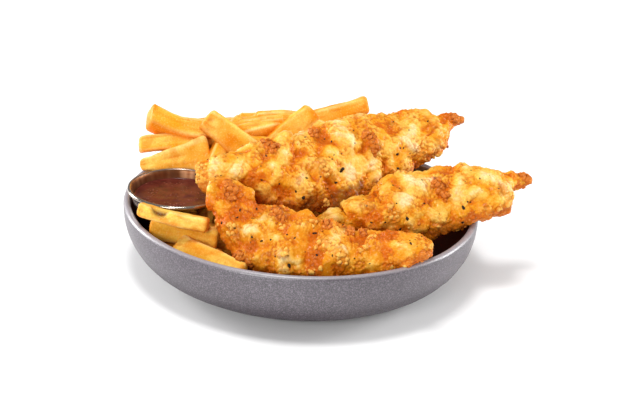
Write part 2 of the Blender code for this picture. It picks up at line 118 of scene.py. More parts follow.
TENDER_FRONT = (
    (-50, -42, 62, 9, 7.5, 35), (-43, -42.5, 60.5, 10, 8.5, 35), (-33.5, -48.5, 50.5, 14.5, 11, 33),
    (-24, -52.5, 44, 17.8, 12.5, 30), (-13, -58.5, 41.5, 20.5, 13.5, 28), (1, -64, 41, 21, 13.5, 28),
    (15, -67, 40.2, 19.5, 13.5, 28), (29, -69, 39.6, 15.5, 12.5, 26), (43, -71, 43, 14.5, 11, 25),
    (53, -72.5, 47.4, 11, 9, 24), (64, -74.6, 51.2, 7.8, 5.8, 22), (72, -75.7, 52.2, 4.2, 4.2, 20),
)
TENDER_RINGS = 350
TENDER_SIDES = 230
TENDER_CAPS = 12
TENDER_POINT = 0.45
SECTION_POWER = 2.4
RELIEF = 2.2

# Crumbs, pepper and clearances use the stations at this many equal steps along a tender.
STATIONS = 60

# The relief of the CAD's crust: the height and the size of its swellings and of its crags.
SWELL_HEIGHT, SWELL_SIZE = 2.6, 16.0
CRAG_HEIGHT, CRAG_SIZE = 1.8, 9.0
LUMP_LENGTH = 150.0

# A lump of crust on a tender: how far along it (0 to 1), the angle round it in degrees,
# its radius and its height.
LUMPS_BACK = (
    (0.27, 40, 8, 4.5), (0.40, 110, 11, 2.5), (0.52, 60, 10, 2.5), (0.66, 95, 13, 3),
    (0.80, 35, 8, 2.5), (0.86, 80, 8, 3), (0.94, 60, 5, 2.5),
)
LUMPS_RIGHT = (
    (0.30, 120, 9, 2), (0.48, 80, 12, 3), (0.62, 20, 9, 2.5), (0.72, 110, 9, 2.5),
    (0.83, 70, 8, 3), (0.92, 70, 5, 2.5),
)
LUMPS_FRONT = (
    (0.10, 70, 10, 3.5), (0.30, 100, 12, 2.5), (0.45, 50, 10, 2.5), (0.60, 110, 11, 2.5),
    (0.85, 60, 7, 2.5),
)

# Spots on the crust, placed along the camera's line of sight: their kind, then where each is in
# the photograph's frame and its radius in millimetres. B is a patch of brown crumbs, C one of
# lighter crumbs, A a darker amber stain, P a pale swollen bump and D a painted shadow, dark
# brown, under the back tender where the tenders shade it.
SPOTS_BACK = (
    ("B", (266, 145, 4.5), (273, 147, 4.5), (366, 133, 3), (371, 139, 3.6), (375, 147, 4),
     (313, 132, 3)),
    ("C", (321, 163, 4), (325, 172, 3.5)),
    ("B", (454, 116, 3.5), (459, 120, 2.5)),
    ("C", (437, 152, 4), (441, 143, 4), (430, 156, 4), (199, 168, 3), (197, 178, 3.5),
     (326, 203, 4)),
    ("A", (380, 127, 3.5), (424, 157, 4), (400, 166, 3.5), (300, 152, 4), (295, 172, 3.5),
     (231, 160, 3), (262, 174, 3.5), (204, 172, 4), (315, 195, 6), (340, 190, 5), (300, 205, 6),
     (253, 182, 5)),
    ("P", (350, 173, 6), (361, 166, 6), (372, 159, 5.5), (286, 152, 4.5), (284, 162, 4),
     (274, 168, 4.5), (276, 177, 4), (338, 136, 6), (390, 146, 6.5), (400, 121, 6), (405, 141, 5),
     (217, 168, 6), (245, 160, 5), (432, 116, 5), (418, 130, 6), (333, 150, 5), (355, 146, 5)),
    ("D", (290, 207, 4), (302, 208, 6.5), (312, 207, 7.5), (323, 205, 7), (334, 202, 6.5),
     (346, 198, 6), (354, 192, 5.5), (362, 186, 4.5)),
)
SPOTS_RIGHT = (
    ("B", (436, 183, 3), (440, 188, 3.6), (444, 196, 4)),
    ("C", (389, 207, 4), (395, 217, 4)),
    ("B", (523, 175, 3.5), (529, 179, 2.5)),
    ("C", (507, 205, 4), (512, 196, 4), (498, 211, 4)),
    ("A", (378, 218, 4), (504, 178, 3), (484, 214, 4), (470, 217, 3.5), (370, 200, 4),
     (403, 173, 4.5), (425, 171, 5), (448, 232, 4), (410, 235, 4)),
    ("P", (420, 221, 6), (431, 214, 6), (442, 207, 5.5), (408, 184, 6), (460, 194, 6.5),
     (470, 169, 6), (475, 189, 5), (338, 212, 7), (352, 208, 4), (385, 188, 5), (488, 178, 6),
     (402, 201, 5), (363, 192, 4)),
)
SPOTS_FRONT = (
    ("B", (228, 186, 4.2), (233, 190, 4.2), (230, 198, 3), (276, 212, 3.4), (281, 219, 3.4)),
    ("C", (284, 226, 2.6), (315, 222, 3)),
    ("B", (326, 225, 3.4)),
    ("C", (337, 229, 3.2)),
    ("B", (350, 231, 3.6), (362, 233, 3.4)),
    ("C", (374, 236, 3), (320, 247, 4), (345, 262, 5), (340, 255, 3.6), (363, 248, 3),
     (285, 254, 3), (312, 269, 3.4), (233, 232, 4.5), (230, 224, 3.5)),
    ("B", (240, 256, 4), (247, 264, 3.5), (427, 256, 3.6)),
    ("C", (431, 248, 3)),
    ("A", (305, 258, 3), (258, 203, 4.5), (236, 216, 5), (229, 244, 4), (250, 246, 4),
     (297, 219, 5), (385, 238, 4), (410, 262, 4), (290, 246, 4)),
    ("P", (214, 194, 5), (264, 221, 5.5), (271, 238, 6), (299, 262, 5), (374, 261, 5.5),
     (327, 262, 4.5), (303, 240, 5), (350, 246, 5), (395, 247, 6), (252, 229, 4), (336, 238, 4),
     (218, 206, 5)),
)

# Flakes of pepper, placed the same way: where in the frame, and radius in millimetres.
PEPPER = (
    (341.8, 170.4, 1.6), (303.5, 197.8, 1.4), (306.7, 178, 0.9), (336, 182.5, 1.0), (295.9, 191.4, 0.8),
    (279.3, 183.8, 0.8), (305.4, 137.2, 0.8), (324.6, 139.1, 0.7), (331.6, 141.7, 0.7),
    (353.3, 130.8, 0.9), (266.1, 155.7, 0.8), (397.2, 154.4, 1.3), (397.8, 168.4, 1.1),
    (400.4, 148, 0.7), (403.4, 148.2, 0.7), (427.8, 121.3, 0.8), (393.4, 121.9, 0.7),
    (320.7, 176.7, 0.8), (364, 132, 0.6), (329.8, 157.5, 0.6), (332, 159, 0.6), (261.5, 180, 0.7),
    (409, 130, 0.6), (196, 174.5, 0.9), (240, 210, 1.1), (252, 237, 0.9), (261.7, 241.2, 1.0),
    (270.4, 239.7, 0.8), (288.8, 265.2, 1.2), (287.2, 234.6, 0.9), (294.7, 238, 0.7),
    (315.3, 233.1, 1.5), (322.1, 231, 0.9), (316.8, 255, 0.8), (354.6, 258.6, 0.6),
    (275.3, 256.7, 0.6), (411, 243.5, 0.9), (221.5, 223.3, 1.0), (256.6, 209, 0.7),
    (407, 218.4, 1.6), (371.5, 222.4, 1.0), (400.2, 229.4, 0.9), (463.6, 207.7, 1.3),
    (462.6, 222.4, 1.2), (467.4, 202, 0.7), (470.5, 202.3, 0.7), (422.2, 180, 0.8),
    (392.9, 185.2, 0.8), (399.4, 188.4, 0.6), (396.5, 203.5, 0.7), (343, 225, 0.8),
    (471, 170.5, 0.7), (480, 178.5, 0.8), (385.5, 222.5, 0.7),
)

# The tenders: piece, CAD node, tables, seed of the noise, how deeply browned it is and how many
# fine flakes of pepper it has.
Tender = namedtuple("Tender", "piece node rows lumps spots seed deep flakes")
TENDERS = (
    Tender("crust_back", "tender_back", TENDER_BACK, LUMPS_BACK, SPOTS_BACK, 3.7, 0.05, 60),
    Tender("crust_right", "tender_right", TENDER_RIGHT, LUMPS_RIGHT, SPOTS_RIGHT, 11.2, 0.0, 50),
    Tender("crust_front", "tender_front", TENDER_FRONT, LUMPS_FRONT, SPOTS_FRONT, 23.9, 0.35, 50),
)

# The noise of the crust, each with its feature size and the shift of its seed, and its round
# bumps, each with the space between them, their reach in spaces and the shift.
CRUST_NOISE = {"swell": (13, 1), "pillow": (6.2, 2), "fine": (2.6, 3), "grain": (1.3, 4),
               "mottle": (7, 6), "fold": (10, 11), "folded": (17, 12)}
CRUST_BUMPS = {"lobes": (6.0, 0.8, 0), "nubs": (2.4, 0.62, 0), "domes": (8.5, 0.9, 4),
               "grit": (1.7, 0.66, 2)}

# Nodules of crust on a brown and on a light patch, and single ones along a tender's edges; and
# the radius of the fine flakes of pepper.
NODULES = {"B": 12, "C": 4}
NODULES_EDGE = 70
FLAKES_FINE = (0.3, 0.35, 0.4, 0.5, 0.7)

# A fry: its two ends, width, thickness, roll in degrees, how far its middle bows upwards and
# how much of its width is left at either end.
FRIES_SHOWN = (
    (-94, 36, 77, -51, 46, 66, 17, 13, 45, -4, 1.0, 1.0),
    (-99, 29, 61.5, -55, 42, 62, 12, 10.5, 30, 1, 0.9, 1.0),
    (-97, 19, 52.4, -58, 27, 59, 20, 9.5, 112, 0, 0.35, 1.15),
    (-60, 31, 79.5, -27, 27, 55.5, 18, 9, 112, 1, 0.82, 1.0),
    (-80, 60, 62, -22, 66, 65, 11, 10.5, 15, 1, 0.9, 0.9),
    (-44, 72, 62, 6, 76, 66, 12, 10, 20, 2, 0.9, 0.8),
    (-17, 49, 55.5, 3, 62, 77, 21, 9, 112, 1, 1.0, 0.6),
    (-14, 60, 69, 36, 71, 80.5, 13, 11.5, 20, -2, 0.9, 0.95),
    (-44, 34, 62, -4, 42, 59, 13, 10, 60, 1, 0.9, 0.9),
    (-90, -48.5, 53.5, -44, -55, 47, 10.5, 8.5, 20, -1, 0.9, 1.0),
    (-83.5, -47.5, 42.5, -36, -46, 36, 16, 8, 97, 0, 0.9, 0.9),
    (-68, -53, 33, -30, -80, 33, 16, 8, 150, 0, 1.0, 0.7),
    (-74, -46, 29, -44, -54, 27, 12, 11, 0, 0, 0.9, 0.9),
)
FRY_NOSE = 0.14
FRY_END = 0.78
FRY_SHORTEST = 16.0
FRY_CLEARANCE = 0.8

# The fries drawn by seed, over the back of the heap and low along its foot: how many, sizes, where
# from and to in degrees round the bowl, at what radius, how far they swing from lying round it, and
# how they roll, bow, sink and rise.
FRY_SEED = 7
FRY_LENGTH = (38.0, 60.0)
FRY_WIDTH = (11.0, 14.0)
FRY_THICK = (10.0, 12.0)
FRY_KEEP = (0.7, 1.0)
FRIES_MORE = 20
HEAP_REACH = (58.0, 86.0)
HEAP_FROM, HEAP_TO = 40.0, 150.0
HEAP_SWING, HEAP_ROLL, HEAP_BOW = 26.0, (-40, 40), 4.0
HEAP_SINK, HEAP_LIFT = 13.0, 3.0
FRIES_LOW = 8
LOW_FROM, LOW_TO = 54.0, 150.0
LOW_REACH = (89.5, 80.0)
LOW_SWING, LOW_ROLL = 10.0, (10, 50)
LOW_SINK, LOW_SLOPE = (-4, -1), (-2, 2)

# The heap of fries as rounded blocks: top, x and half length along x, y and half length along
# y, and how square they are. Near the wall the heap slopes down to the rim.
HEAP_BLOCKS = ((66, -25, 76, 56, 41, 6), (36, -62, 40, -52, 34, 6), (32, -4, 52, -20, 70, 4))
HEAP_SLOPE = 1.2
CORE_UNDER = 4.0
CORE_GAP = 1.2
CORE_EDGE = 94.0
CORE_EDGE_RIGHT = 42.0

# The bare side: its direction, half its width and how far its ends are soft, in degrees.
BARE_AT, BARE_HALF, BARE_SOFT = -18.0, 42.0, 34.0

# The core here stays behind and below the CAD's, so that single fries close the heap.
CORE_BACK = 9.0
CORE_LOWER = 12.0
CORE_ROUGH = 1.6
CORE_TURNS = 96
CORE_RINGS = 24

# Fries half sunk in the core: half length by the wall and elsewhere; width, thickness and roll;
# the radius where the wall's begin, and how far inwards one may move till it fits.
FRIES_SUNK = 110
SUNK_HALF_WALL = (11, 20)
SUNK_HALF = (14, 24)
SUNK_SIZES = ((9, 12), (8, 10), (-15, 15))
SUNK_WALL = 50.0
SUNK_INWARD = (0, 4, 8, 12, 16)

# Rings and points round a fry that shows, one of the others and a sunk one; how strongly the
# rings crowd to the ends, how the ends are rounded, and how square a section can be.
FRY_RINGS = (46, 34, 20)
FRY_SIDES = (40, 28, 16)
FRY_CROWD = 0.48
FRY_ROUND = 2.6
FRY_ROUND_POWER = 2.6
FRY_SQUARE = (5.0, 8.0)

# How brown each of the fries that show is, a pale one under 0, and how brown the others are.
# The -1.0 of the fry at index 10, low at the front left, paints it lighter and yellower: painted
# light where that fry lies in shade.
FRY_BROWN = (0.45, 0.1, -0.3, 0.1, 0.4, 0.5, 0.15, 0.5, 0.3, 0.0, -1.0, -0.2, 0.4)
FRY_BROWN_MORE = 0.3
# The curled fry has a hollow near its end, painted dark as shade, placed in the photograph's pixels.
HOLLOW_FRY = 9
HOLLOW_AT = (160.0, 210.0)
HOLLOW_WIDE = 6.0
HOLLOW_DEEP = 3.0

# The lights: name, place and size in metres, and power in watts. They aim at one point.
LIGHTS = (
    ("key", (-0.12, -0.3, 1.2), (0.3, 0.3), 7.9),
    ("front", (-0.45, -1.15, 0.5), (0.6, 0.4), 8.8),
    ("side_left", (-1.1, 0.5, 0.35), (0.4, 0.7), 16.0),
    ("side_right", (1.15, 0.3, 0.35), (0.4, 0.7), 13.0),
)
LIGHT_AIM = (0.0, 0.0, 0.04)
WORLD_LIGHT = 0.35
FLOOR_HALF = 3.0


def camera_axes():
    """Place, forward, right and up of the photograph's camera, in millimetres."""
    forward = Vector((0, cos(CAMERA_TILT), -sin(CAMERA_TILT)))
    level = Vector((1, 0, 0))
    above = Vector((0, sin(CAMERA_TILT), cos(CAMERA_TILT)))
    right = level * cos(CAMERA_ROLL) + above * sin(CAMERA_ROLL)
    up = above * cos(CAMERA_ROLL) - level * sin(CAMERA_ROLL)
    aim = Vector((0, 0, BOWL_HEIGHT)) + level * CAMERA_AIM[0] + above * CAMERA_AIM[1]
    return aim - forward * CAMERA_DISTANCE, forward, right, up


def sight(x, y):
    """Direction from the camera through a point of the photograph's frame."""
    _, forward, right, up = camera_axes()
    focal = CAMERA_LENS / CAMERA_SENSOR * PHOTO_SIZE[0]
    across, down = x - PHOTO_SIZE[0] / 2, y - PHOTO_SIZE[1] / 2
    return (forward + right * (across / focal) - up * (down / focal)).normalized()


def add_camera():
    """The photograph's camera."""
    place, forward, right, up = camera_axes()
    data = bpy.data.cameras.new("camera")
    data.lens = CAMERA_LENS
    data.sensor_width = CAMERA_SENSOR
    made = bpy.data.objects.new("camera", data)
    turn = Matrix((right, up, -forward)).transposed().to_4x4()
    made.matrix_world = Matrix.Translation(place * MM) @ turn
    bpy.context.scene.collection.objects.link(made)
    bpy.context.scene.camera = made


def noise_at(points, shift):
    """Smooth noise at points already scaled, moved by a shift."""
    flat = points.reshape(-1, 3) + np.array(shift, float)
    return np.array([noise.noise(p) for p in flat.tolist()]).reshape(points.shape[:-1])


def field(points, size, shift=0.0):
    """Smooth noise at every point, about -0.6 to 0.6, with features of a given size."""
    return noise_at(points / size, (shift, shift * 0.7, -shift))


def cells(points, size, shift=0.0):
    """Distance from every point to the nearest of scattered seeds, in units of the size."""
    flat = points.reshape(-1, 3) / size + shift
    near = [noise.voronoi(p)[0][0] for p in flat.tolist()]
    return np.array(near).reshape(points.shape[:-1])


def bumps(points, size, reach, shift):
    """Round bumps about a size apart: 1 on top of each, 0 beyond its reach."""
    return np.sqrt(np.clip(1 - (cells(points, size, shift) / reach) ** 2, 0, 1))


def step(low, high, value):
    """0 under low and 1 over high, with a smooth rise between."""
    share = np.clip((value - low) / (high - low), 0.0, 1.0)
    return share * share * (3 - 2 * share)


def mix(first, second, share):
    """Colours blended by a share between 0 and 1 at every point."""
    share = np.asarray(share)[..., None]
    return first * (1 - share) + second * share


def layered(colour, *layers):
    """Colours with tints laid over them in turn, each by its own share."""
    for tint, share in layers:
        colour = mix(colour, tint, share)
    return colour


def srgb(red, green, blue):
    """Linear colour of an sRGB triple from 0 to 255."""
    value = np.array((red, green, blue)) / 255.0
    return np.where(value < 0.04045, value / 12.92, ((value + 0.055) / 1.055) ** 2.4)


def add_mesh(name, points, faces, look, paint=None):
    """An object from points in millimetres, with colours or values painted on its points."""
    mesh = bpy.data.meshes.new(name)
    mesh.from_pydata((np.asarray(points, float) * MM).tolist(), [], faces)
    mesh.validate()
    mesh.shade_smooth()
    for key, values in (paint or {}).items():
        values = np.asarray(values, np.float32)
        if values.ndim == 1:
            layer = mesh.attributes.new(key, "FLOAT", "POINT")
            layer.data.foreach_set("value", values)
        else:
            layer = mesh.attributes.new(key, "FLOAT_COLOR", "POINT")
            full = np.ones((len(values), 4), np.float32)
            full[:, :3] = values
            layer.data.foreach_set("color", full.ravel())
    made = bpy.data.objects.new(name, mesh)
    bpy.context.scene.collection.objects.link(made)
    mesh.materials.append(look)
    return made


def grid_faces(rings, sides, start=0):
    """Quads over rings of points, closed round each ring."""
    ring = np.arange(rings - 1)[:, None] * sides + start
    a, b = ring + np.arange(sides), ring + (np.arange(sides) + 1) % sides
    return np.stack([a, b, b + sides, a + sides], -1).reshape(-1, 4).tolist()


def closed_faces(rings, sides, start=0):
    """Quads over rings of points, with a pole at either end after the last ring."""
    faces = grid_faces(rings, sides, start)
    first, last = start + rings * sides, start + rings * sides + 1
    top = start + (rings - 1) * sides
    for j in range(sides):
        n = (j + 1) % sides
        faces += [(first, start + n, start + j), (last, top + j, top + n)]
    return faces


def with_poles(grid):
    """A grid as one list, and after it the means of its first and of its last ring."""
    return np.vstack([grid.reshape(-1, 3), grid[0].mean(axis=0), grid[-1].mean(axis=0)])


def kept_in(points, box):
    """Points moved into a box whose corners are in metres."""
    low, high = (np.array(corner) / MM for corner in box)
    return np.clip(points, low, high)


class Look:
    """A node material with short ways to add nodes and link them."""

    def __init__(self, name, **values):
        self.material = bpy.data.materials.new(name)
        self.material.use_nodes = True
        self.nodes = self.material.node_tree.nodes
        self.links = self.material.node_tree.links
        self.shader = self.nodes["Principled BSDF"]
        self.set(**values)

    def feed(self, socket, value):
        """Link a socket to another node's, or set it to a plain value."""
        if isinstance(value, bpy.types.NodeSocket):
            self.links.new(value, socket)
        else:
            socket.default_value = (*value, 1.0) if socket.type == "RGBA" else value

    def set(self, **values):
        """Feed the shader's inputs by name, and give the material back."""
        for key, value in values.items():
            self.feed(self.shader.inputs[key.replace("_", " ")], value)
        return self.material

    def node(self, kind, **values):
        """A node with its settings and its inputs given by name."""
        made = self.nodes.new("ShaderNode" + kind)
        for key, value in values.items():
            if hasattr(made, key):
                setattr(made, key, value)
            else:
                self.feed(made.inputs[key.replace("_", " ")], value)
        return made

    def noise(self, scale, detail=3.0, rough=0.55, stretch=None):
        """Noise in object space; scale is features per metre."""
        place = self.node("TexCoord").outputs["Object"]
        if stretch:
            place = self.node("Mapping", Vector=place, Scale=stretch).outputs["Vector"]
        made = self.node("TexNoise", Vector=place, Scale=scale, Detail=detail, Roughness=rough)
        return made.outputs["Fac"]

    def cells(self, scale):
        """Distance to scattered seeds in object space."""
        place = self.node("TexCoord").outputs["Object"]
        return self.node("TexVoronoi", Vector=place, Scale=scale).outputs["Distance"]

    def attribute(self, name, output="Fac"):
        """What was painted on the points under a name."""
        return self.node("Attribute", attribute_name=name).outputs[output]

    def ramp(self, value, low, high, start=0.0, end=1.0):
        """The value's range from low to high spread over start to end."""
        made = self.node("MapRange", Value=value, From_Min=low, From_Max=high, To_Min=start,
                         To_Max=end)
        return made.outputs["Result"]

    def mixed(self, factor, first, second):
        """Two colours mixed by a factor."""
        made = self.node("Mix", data_type="RGBA", clamp_factor=True)
        for number, value in ((0, factor), (6, first), (7, second)):
            self.feed(made.inputs[number], value)
        return made.outputs[2]

    def layered(self, colour, *layers):
        """The colour with tints over it, each by a value's range from low to high."""
        for value, low, high, start, end, tint in layers:
            colour = self.mixed(self.ramp(value, low, high, start, end), colour, srgb(*tint))
        return colour

    def maths(self, operation, first, second):
        """A sum or a product of two values."""
        made = self.node("Math", operation=operation)
        self.feed(made.inputs[0], first)
        self.feed(made.inputs[1], second)
        return made.outputs["Value"]

    def bump(self, height, distance, strength, under=None):
        """Fine relief, on top of another where one is given."""
        made = self.node("Bump", Height=height, Distance=distance, Strength=strength)
        if under:
            self.feed(made.inputs["Normal"], under)
        return made.outputs["Normal"]


def fried_look(name, **values):
    """What the crust and the potato share: light sinks in a little, under a thin coat of fat."""
    return Look(name, Subsurface_Scale=0.003, Subsurface_Radius=(1.0, 0.5, 0.15),
                Specular_IOR_Level=0.06, Coat_IOR=1.34, **values)


def crust_look():
    """Fried batter: painted colour broken up by grain, with a moist sheen."""
    look = fried_look("crust_batter", Subsurface_Weight=0.03, Coat_Weight=0.3, Coat_Roughness=0.18)
    grain = look.noise(900, 4, 0.6)
    blotch = look.noise(260, 3, 0.6)
    colour = look.layered(look.attribute("paint", "Color"),
                          (blotch, 0.56, 0.74, 0, 0.35, (224, 128, 12)),
                          (grain, 0.35, 0.6, 0.35, 0, (204, 104, 8)),
                          (grain, 0.55, 0.75, 0, 0.30, (252, 218, 136)),
                          (look.cells(520), 0.05, 0.11, 0.6, 0, (160, 66, 6)))
    rough = look.ramp(blotch, 0.35, 0.7, 0.40, 0.6)
    normal = look.bump(look.noise(2200, 2, 0.5), 0.00025, 0.5, look.bump(grain, 0.0006, 0.7))
    return look.set(Base_Color=colour, Roughness=rough, Normal=normal)


def potato_look():
    """Fried potato: a smooth matt gold with fine grain, paler and darker where painted."""
    look = fried_look("potato_fried", Subsurface_Weight=0.04, Coat_Weight=0.2, Coat_Roughness=0.25)
    grain = look.noise(1000, 4, 0.6)
    streak = look.noise(260, 4, 0.6)
    colour = look.layered(look.attribute("paint", "Color"),
                          (streak, 0.5, 0.72, 0, 0.45, (224, 126, 12)),
                          (grain, 0.38, 0.55, 0.25, 0, (224, 128, 12)),
                          (grain, 0.55, 0.7, 0, 0.35, (253, 222, 140)))
    rough = look.ramp(streak, 0.35, 0.65, 0.42, 0.58)
    return look.set(Base_Color=colour, Roughness=rough, Normal=look.bump(grain, 0.0003, 0.6))


def stoneware_look():
    """Speckled grey glaze outside and on the rim, near-black maroon inside."""
    look = Look("stoneware_glaze", Specular_IOR_Level=0.05, Coat_Roughness=0.4, Coat_IOR=2.0)
    inside, edge, low = (look.attribute(name) for name in ("inside", "edge", "low"))
    speck = look.noise(1350, 3, 0.7)
    cloud = look.noise(60, 3, 0.6)
    grey = look.layered(srgb(55, 44, 55),
                        (cloud, 0.3, 0.7, 0, 1, (65, 54, 65)),
                        # Painted shade: the grey darkens towards the bowl's foot.
                        (low, 0, 1, 0, 1, (36, 28, 30)),
                        (speck, 0.36, 0.50, 1, 0, (30, 24, 30)),
                        (speck, 0.50, 0.66, 0, 1, (118, 107, 119)),
                        (edge, 0, 1, 0, 1, (200, 192, 196)))
    dark = look.mixed(look.ramp(cloud, 0.3, 0.7), (0.024, 0.0015, 0.001), (0.040, 0.004, 0.003))
    glaze = look.maths("MULTIPLY", look.ramp(inside, 0, 1, 0.9, 0.04), look.ramp(low, 0, 1, 1, 0.4))
    return look.set(Base_Color=look.mixed(inside, grey, dark), Coat_Weight=glaze,
                    Roughness=look.ramp(inside, 0, 1, 0.6, 0.45),
                    Normal=look.bump(speck, 0.00012, 0.5))


def steel_look():
    """Spun stainless steel with fine rings round the pot and light wear; inside, a painted reflection
    in warm brown vertical bands.
    """
    look = Look("steel_spun", Metallic=1.0, Roughness=0.2)
    rings = look.noise(45, 4, 0.7, stretch=(0.4, 0.4, 40))
    wear = look.noise(140, 4, 0.6)
    reflection_bands = look.noise(60, 3, 0.6, stretch=(1.0, 1.0, 0.06))
    inside = look.attribute("inside")
    cool = look.layered(srgb(180, 170, 160), (wear, 0.4, 0.7, 0, 1, (152, 138, 126)))
    # Painted reflection: the inside's colour is the warm brown the steel reflects, in vertical bands.
    warm = look.layered(srgb(92, 48, 24), (reflection_bands, 0.4, 0.6, 0, 1, (160, 120, 88)))
    rough = look.maths("ADD", look.ramp(rings, 0.3, 0.7, 0.10, 0.22),
                       look.ramp(wear, 0.5, 0.8, 0, 0.12))
    rough = look.maths("ADD", rough, look.ramp(inside, 0, 1, 0, 0.25))
    return look.set(Base_Color=look.mixed(inside, cool, warm), Roughness=rough,
                    Normal=look.bump(rings, 0.00006, 0.6))


def dip_look():
    """Brown dip with pulp just under a glossy skin."""
    look = Look("dip_glossy", Roughness=0.22, Specular_IOR_Level=0.12, Coat_Weight=0.08,
                Coat_Roughness=0.08)
    colour = look.layered(srgb(78, 26, 20),
                          (look.noise(170, 4, 0.6), 0.35, 0.68, 0, 1, (104, 44, 34)),
                          (look.attribute("pulp"), 0.2, 1.0, 0, 0.6, (164, 104, 82)))
    return look.set(Base_Color=colour, Normal=look.bump(look.noise(900, 3, 0.6), 0.00015, 0.4))


def pepper_look():
    """Near-black pepper with paler specks."""
    look = Look("pepper_flake", Roughness=0.5, Specular_IOR_Level=0.15)
    speck = look.noise(1400, 3, 0.6)
    colour = look.mixed(look.ramp(speck, 0.35, 0.7), (0.010, 0.005, 0.003), (0.05, 0.025, 0.012))
    return look.set(Base_Color=colour, Normal=look.bump(speck, 0.0002, 0.6))


def floor_look():
    """The photograph's white ground."""
    look = Look("floor_matt", Roughness=0.7)
    share = look.ramp(look.noise(3, 2, 0.5), 0.3, 0.7)
    return look.set(Base_Color=look.mixed(share, (0.95, 0.95, 0.95), (0.97, 0.97, 0.97)))


def wall_curve(inner, count):
    """(radius, height) points up the bowl's wall, from where it leaves the flat."""
    foot, drop = (BOWL_FLOOR, BOWL_WALL) if inner else (0.0, 0.0)
    points = []
    for i in range(count + 1):
        turn = pi / 2 * i / count
        r = BOWL_BASE + (BOWL_RADIUS - drop - BOWL_BASE) * sin(turn) ** (2 / BOWL_CURVE)
        z = foot + (BOWL_HEIGHT - foot) * (1.0 - cos(turn) ** (2 / BOWL_CURVE))
        points.append((r, z))
    return points


def wall_radius(z):
    """Radius of the bowl's inside at a height."""
    rise = min(max((z - BOWL_FLOOR) / (BOWL_HEIGHT - BOWL_FLOOR), 0.0), 1.0)
    reach = BOWL_RADIUS - BOWL_WALL - BOWL_BASE
    return BOWL_BASE + reach * (1.0 - (1.0 - rise) ** BOWL_CURVE) ** (1.0 / BOWL_CURVE)


def wall_height(r):
    """Height of the bowl's inside at a radius."""
    rise = max(0.0, min(1.0, (r - BOWL_BASE) / (BOWL_RADIUS - BOWL_WALL - BOWL_BASE)))
    return BOWL_HEIGHT - (BOWL_HEIGHT - BOWL_FLOOR) * (1 - rise ** BOWL_CURVE) ** (1 / BOWL_CURVE)


def arc(centre_r, centre_z, radius, first, last, count):
    """Points on an arc from one angle in degrees to another."""
    turns = [radians(first + (last - first) * i / count) for i in range(count + 1)]
    return [(centre_r + radius * cos(turn), centre_z + radius * sin(turn)) for turn in turns]


def lathe(profile, steps, centre=(0.0, 0.0)):
    """Points and faces of a profile turned round, and each point's row of the profile."""
    around = 2 * pi * np.arange(steps) / steps
    rows = np.array(profile[1:-1], float)
    ring = np.stack([np.cos(around), np.sin(around)], 1)
    points = np.zeros((len(rows), steps, 3))
    points[..., :2] = rows[:, None, :1] * ring[None] + np.array(centre)
    points[..., 2] = rows[:, None, 1]
    poles = np.array([(*centre, profile[0][1]), (*centre, profile[-1][1])], float)
    row = np.r_[np.repeat(np.arange(len(rows)), steps), 0, len(profile) - 1]
    return np.vstack([points.reshape(-1, 3), poles]), closed_faces(len(rows), steps), row


def add_bowl():
    """The bowl, slightly uneven like hand-thrown ware, its near-black inside ending in a wavy line."""
    lip = BOWL_WALL / 2
    inside = [(r, BOWL_FLOOR) for r in (0.0, 6.0, 14.0, 24.0, 35.0)] + wall_curve(True, 40)[:-1]
    inside = [p for p in inside if p[1] < BOWL_HEIGHT - lip]
    over = arc(BOWL_RADIUS - lip, BOWL_HEIGHT - lip, lip, 180, 0, 16)
    outside = [p for p in reversed(wall_curve(False, 44)) if p[1] < BOWL_HEIGHT - lip]
    base = [(r, 0.0) for r in (35.0, 24.0, 12.0, 0.0)]
    points, faces, row = lathe(inside + over + outside + base, BOWL_TURNS)
    z, r = points[:, 2], np.hypot(points[:, 0], points[:, 1])
    thrown = 0.16 * field(points * (1, 1, 3), 12, 4.0) + 0.25 * field(points, 40, 9.0)
    scale = 1 - np.clip(thrown + 0.3, 0.2, 0.6) / np.maximum(r, 20)
    points[:, :2] *= np.where(z < 0.2, 1.0, scale)[:, None]
    wavy = BOWL_HEIGHT - 6.5 + 1.2 * field(points, 22, 2.0)
    dark = np.where(row < len(inside) - 1, 1 - step(-0.8, 0.8, z - wavy), 0.0)
    top = step(BOWL_HEIGHT - 1.6, BOWL_HEIGHT - 0.1, z)
    # The low value paints shade on the bowl, darker towards its foot.
    made = add_mesh("bowl_stoneware", points, faces, stoneware_look(),
                    {"inside": dark, "edge": 0.42 * top, "low": step(34, 4, z)})
    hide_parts("bowl")
    return made


def pot_radius(z):
    """Outer radius of the pot's straight wall at a height."""
    rise = (z - (POT_TOP - POT_HEIGHT)) / POT_HEIGHT
    return POT_BASE + (POT_RADIUS - POT_BEAD - POT_BASE) * rise


def add_pot():
    """The steel pot with its rolled bead."""
    foot = POT_TOP - POT_HEIGHT
    floor = foot + POT_WALL
    round_in = POT_CORNER - POT_WALL
    neck = POT_TOP - 2 * POT_BEAD
    corner = pot_radius(floor) - POT_WALL - round_in
    inside = [(0.0, floor), (8.0, floor), (corner, floor)]
    inside += arc(corner, floor + round_in, round_in, -70, -10, 8)
    inside += [(pot_radius(z) - POT_WALL, z) for z in np.linspace(floor + 5, neck, 8)]
    inside += [(pot_radius(POT_TOP) - POT_WALL, POT_TOP - 0.6)]
    over = arc(POT_RADIUS - POT_BEAD, POT_TOP - POT_BEAD, POT_BEAD, 115, -90, 18)
    outside = [(pot_radius(z), z) for z in np.linspace(neck - 0.3, foot + 5, 8)]
    outside += arc(pot_radius(foot) - POT_CORNER, foot + POT_CORNER, POT_CORNER, 0, -90, 8)
    profile = inside + over + outside + [(8.0, foot), (0.0, foot)]
    points, faces, row = lathe(profile, POT_TURNS, POT_AT)
    made = add_mesh("pot_steel", points, faces, steel_look(),
                    {"inside": np.where(row < len(inside) - 1, 1.0, 0.0)})
    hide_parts("dip_pot")
    return made


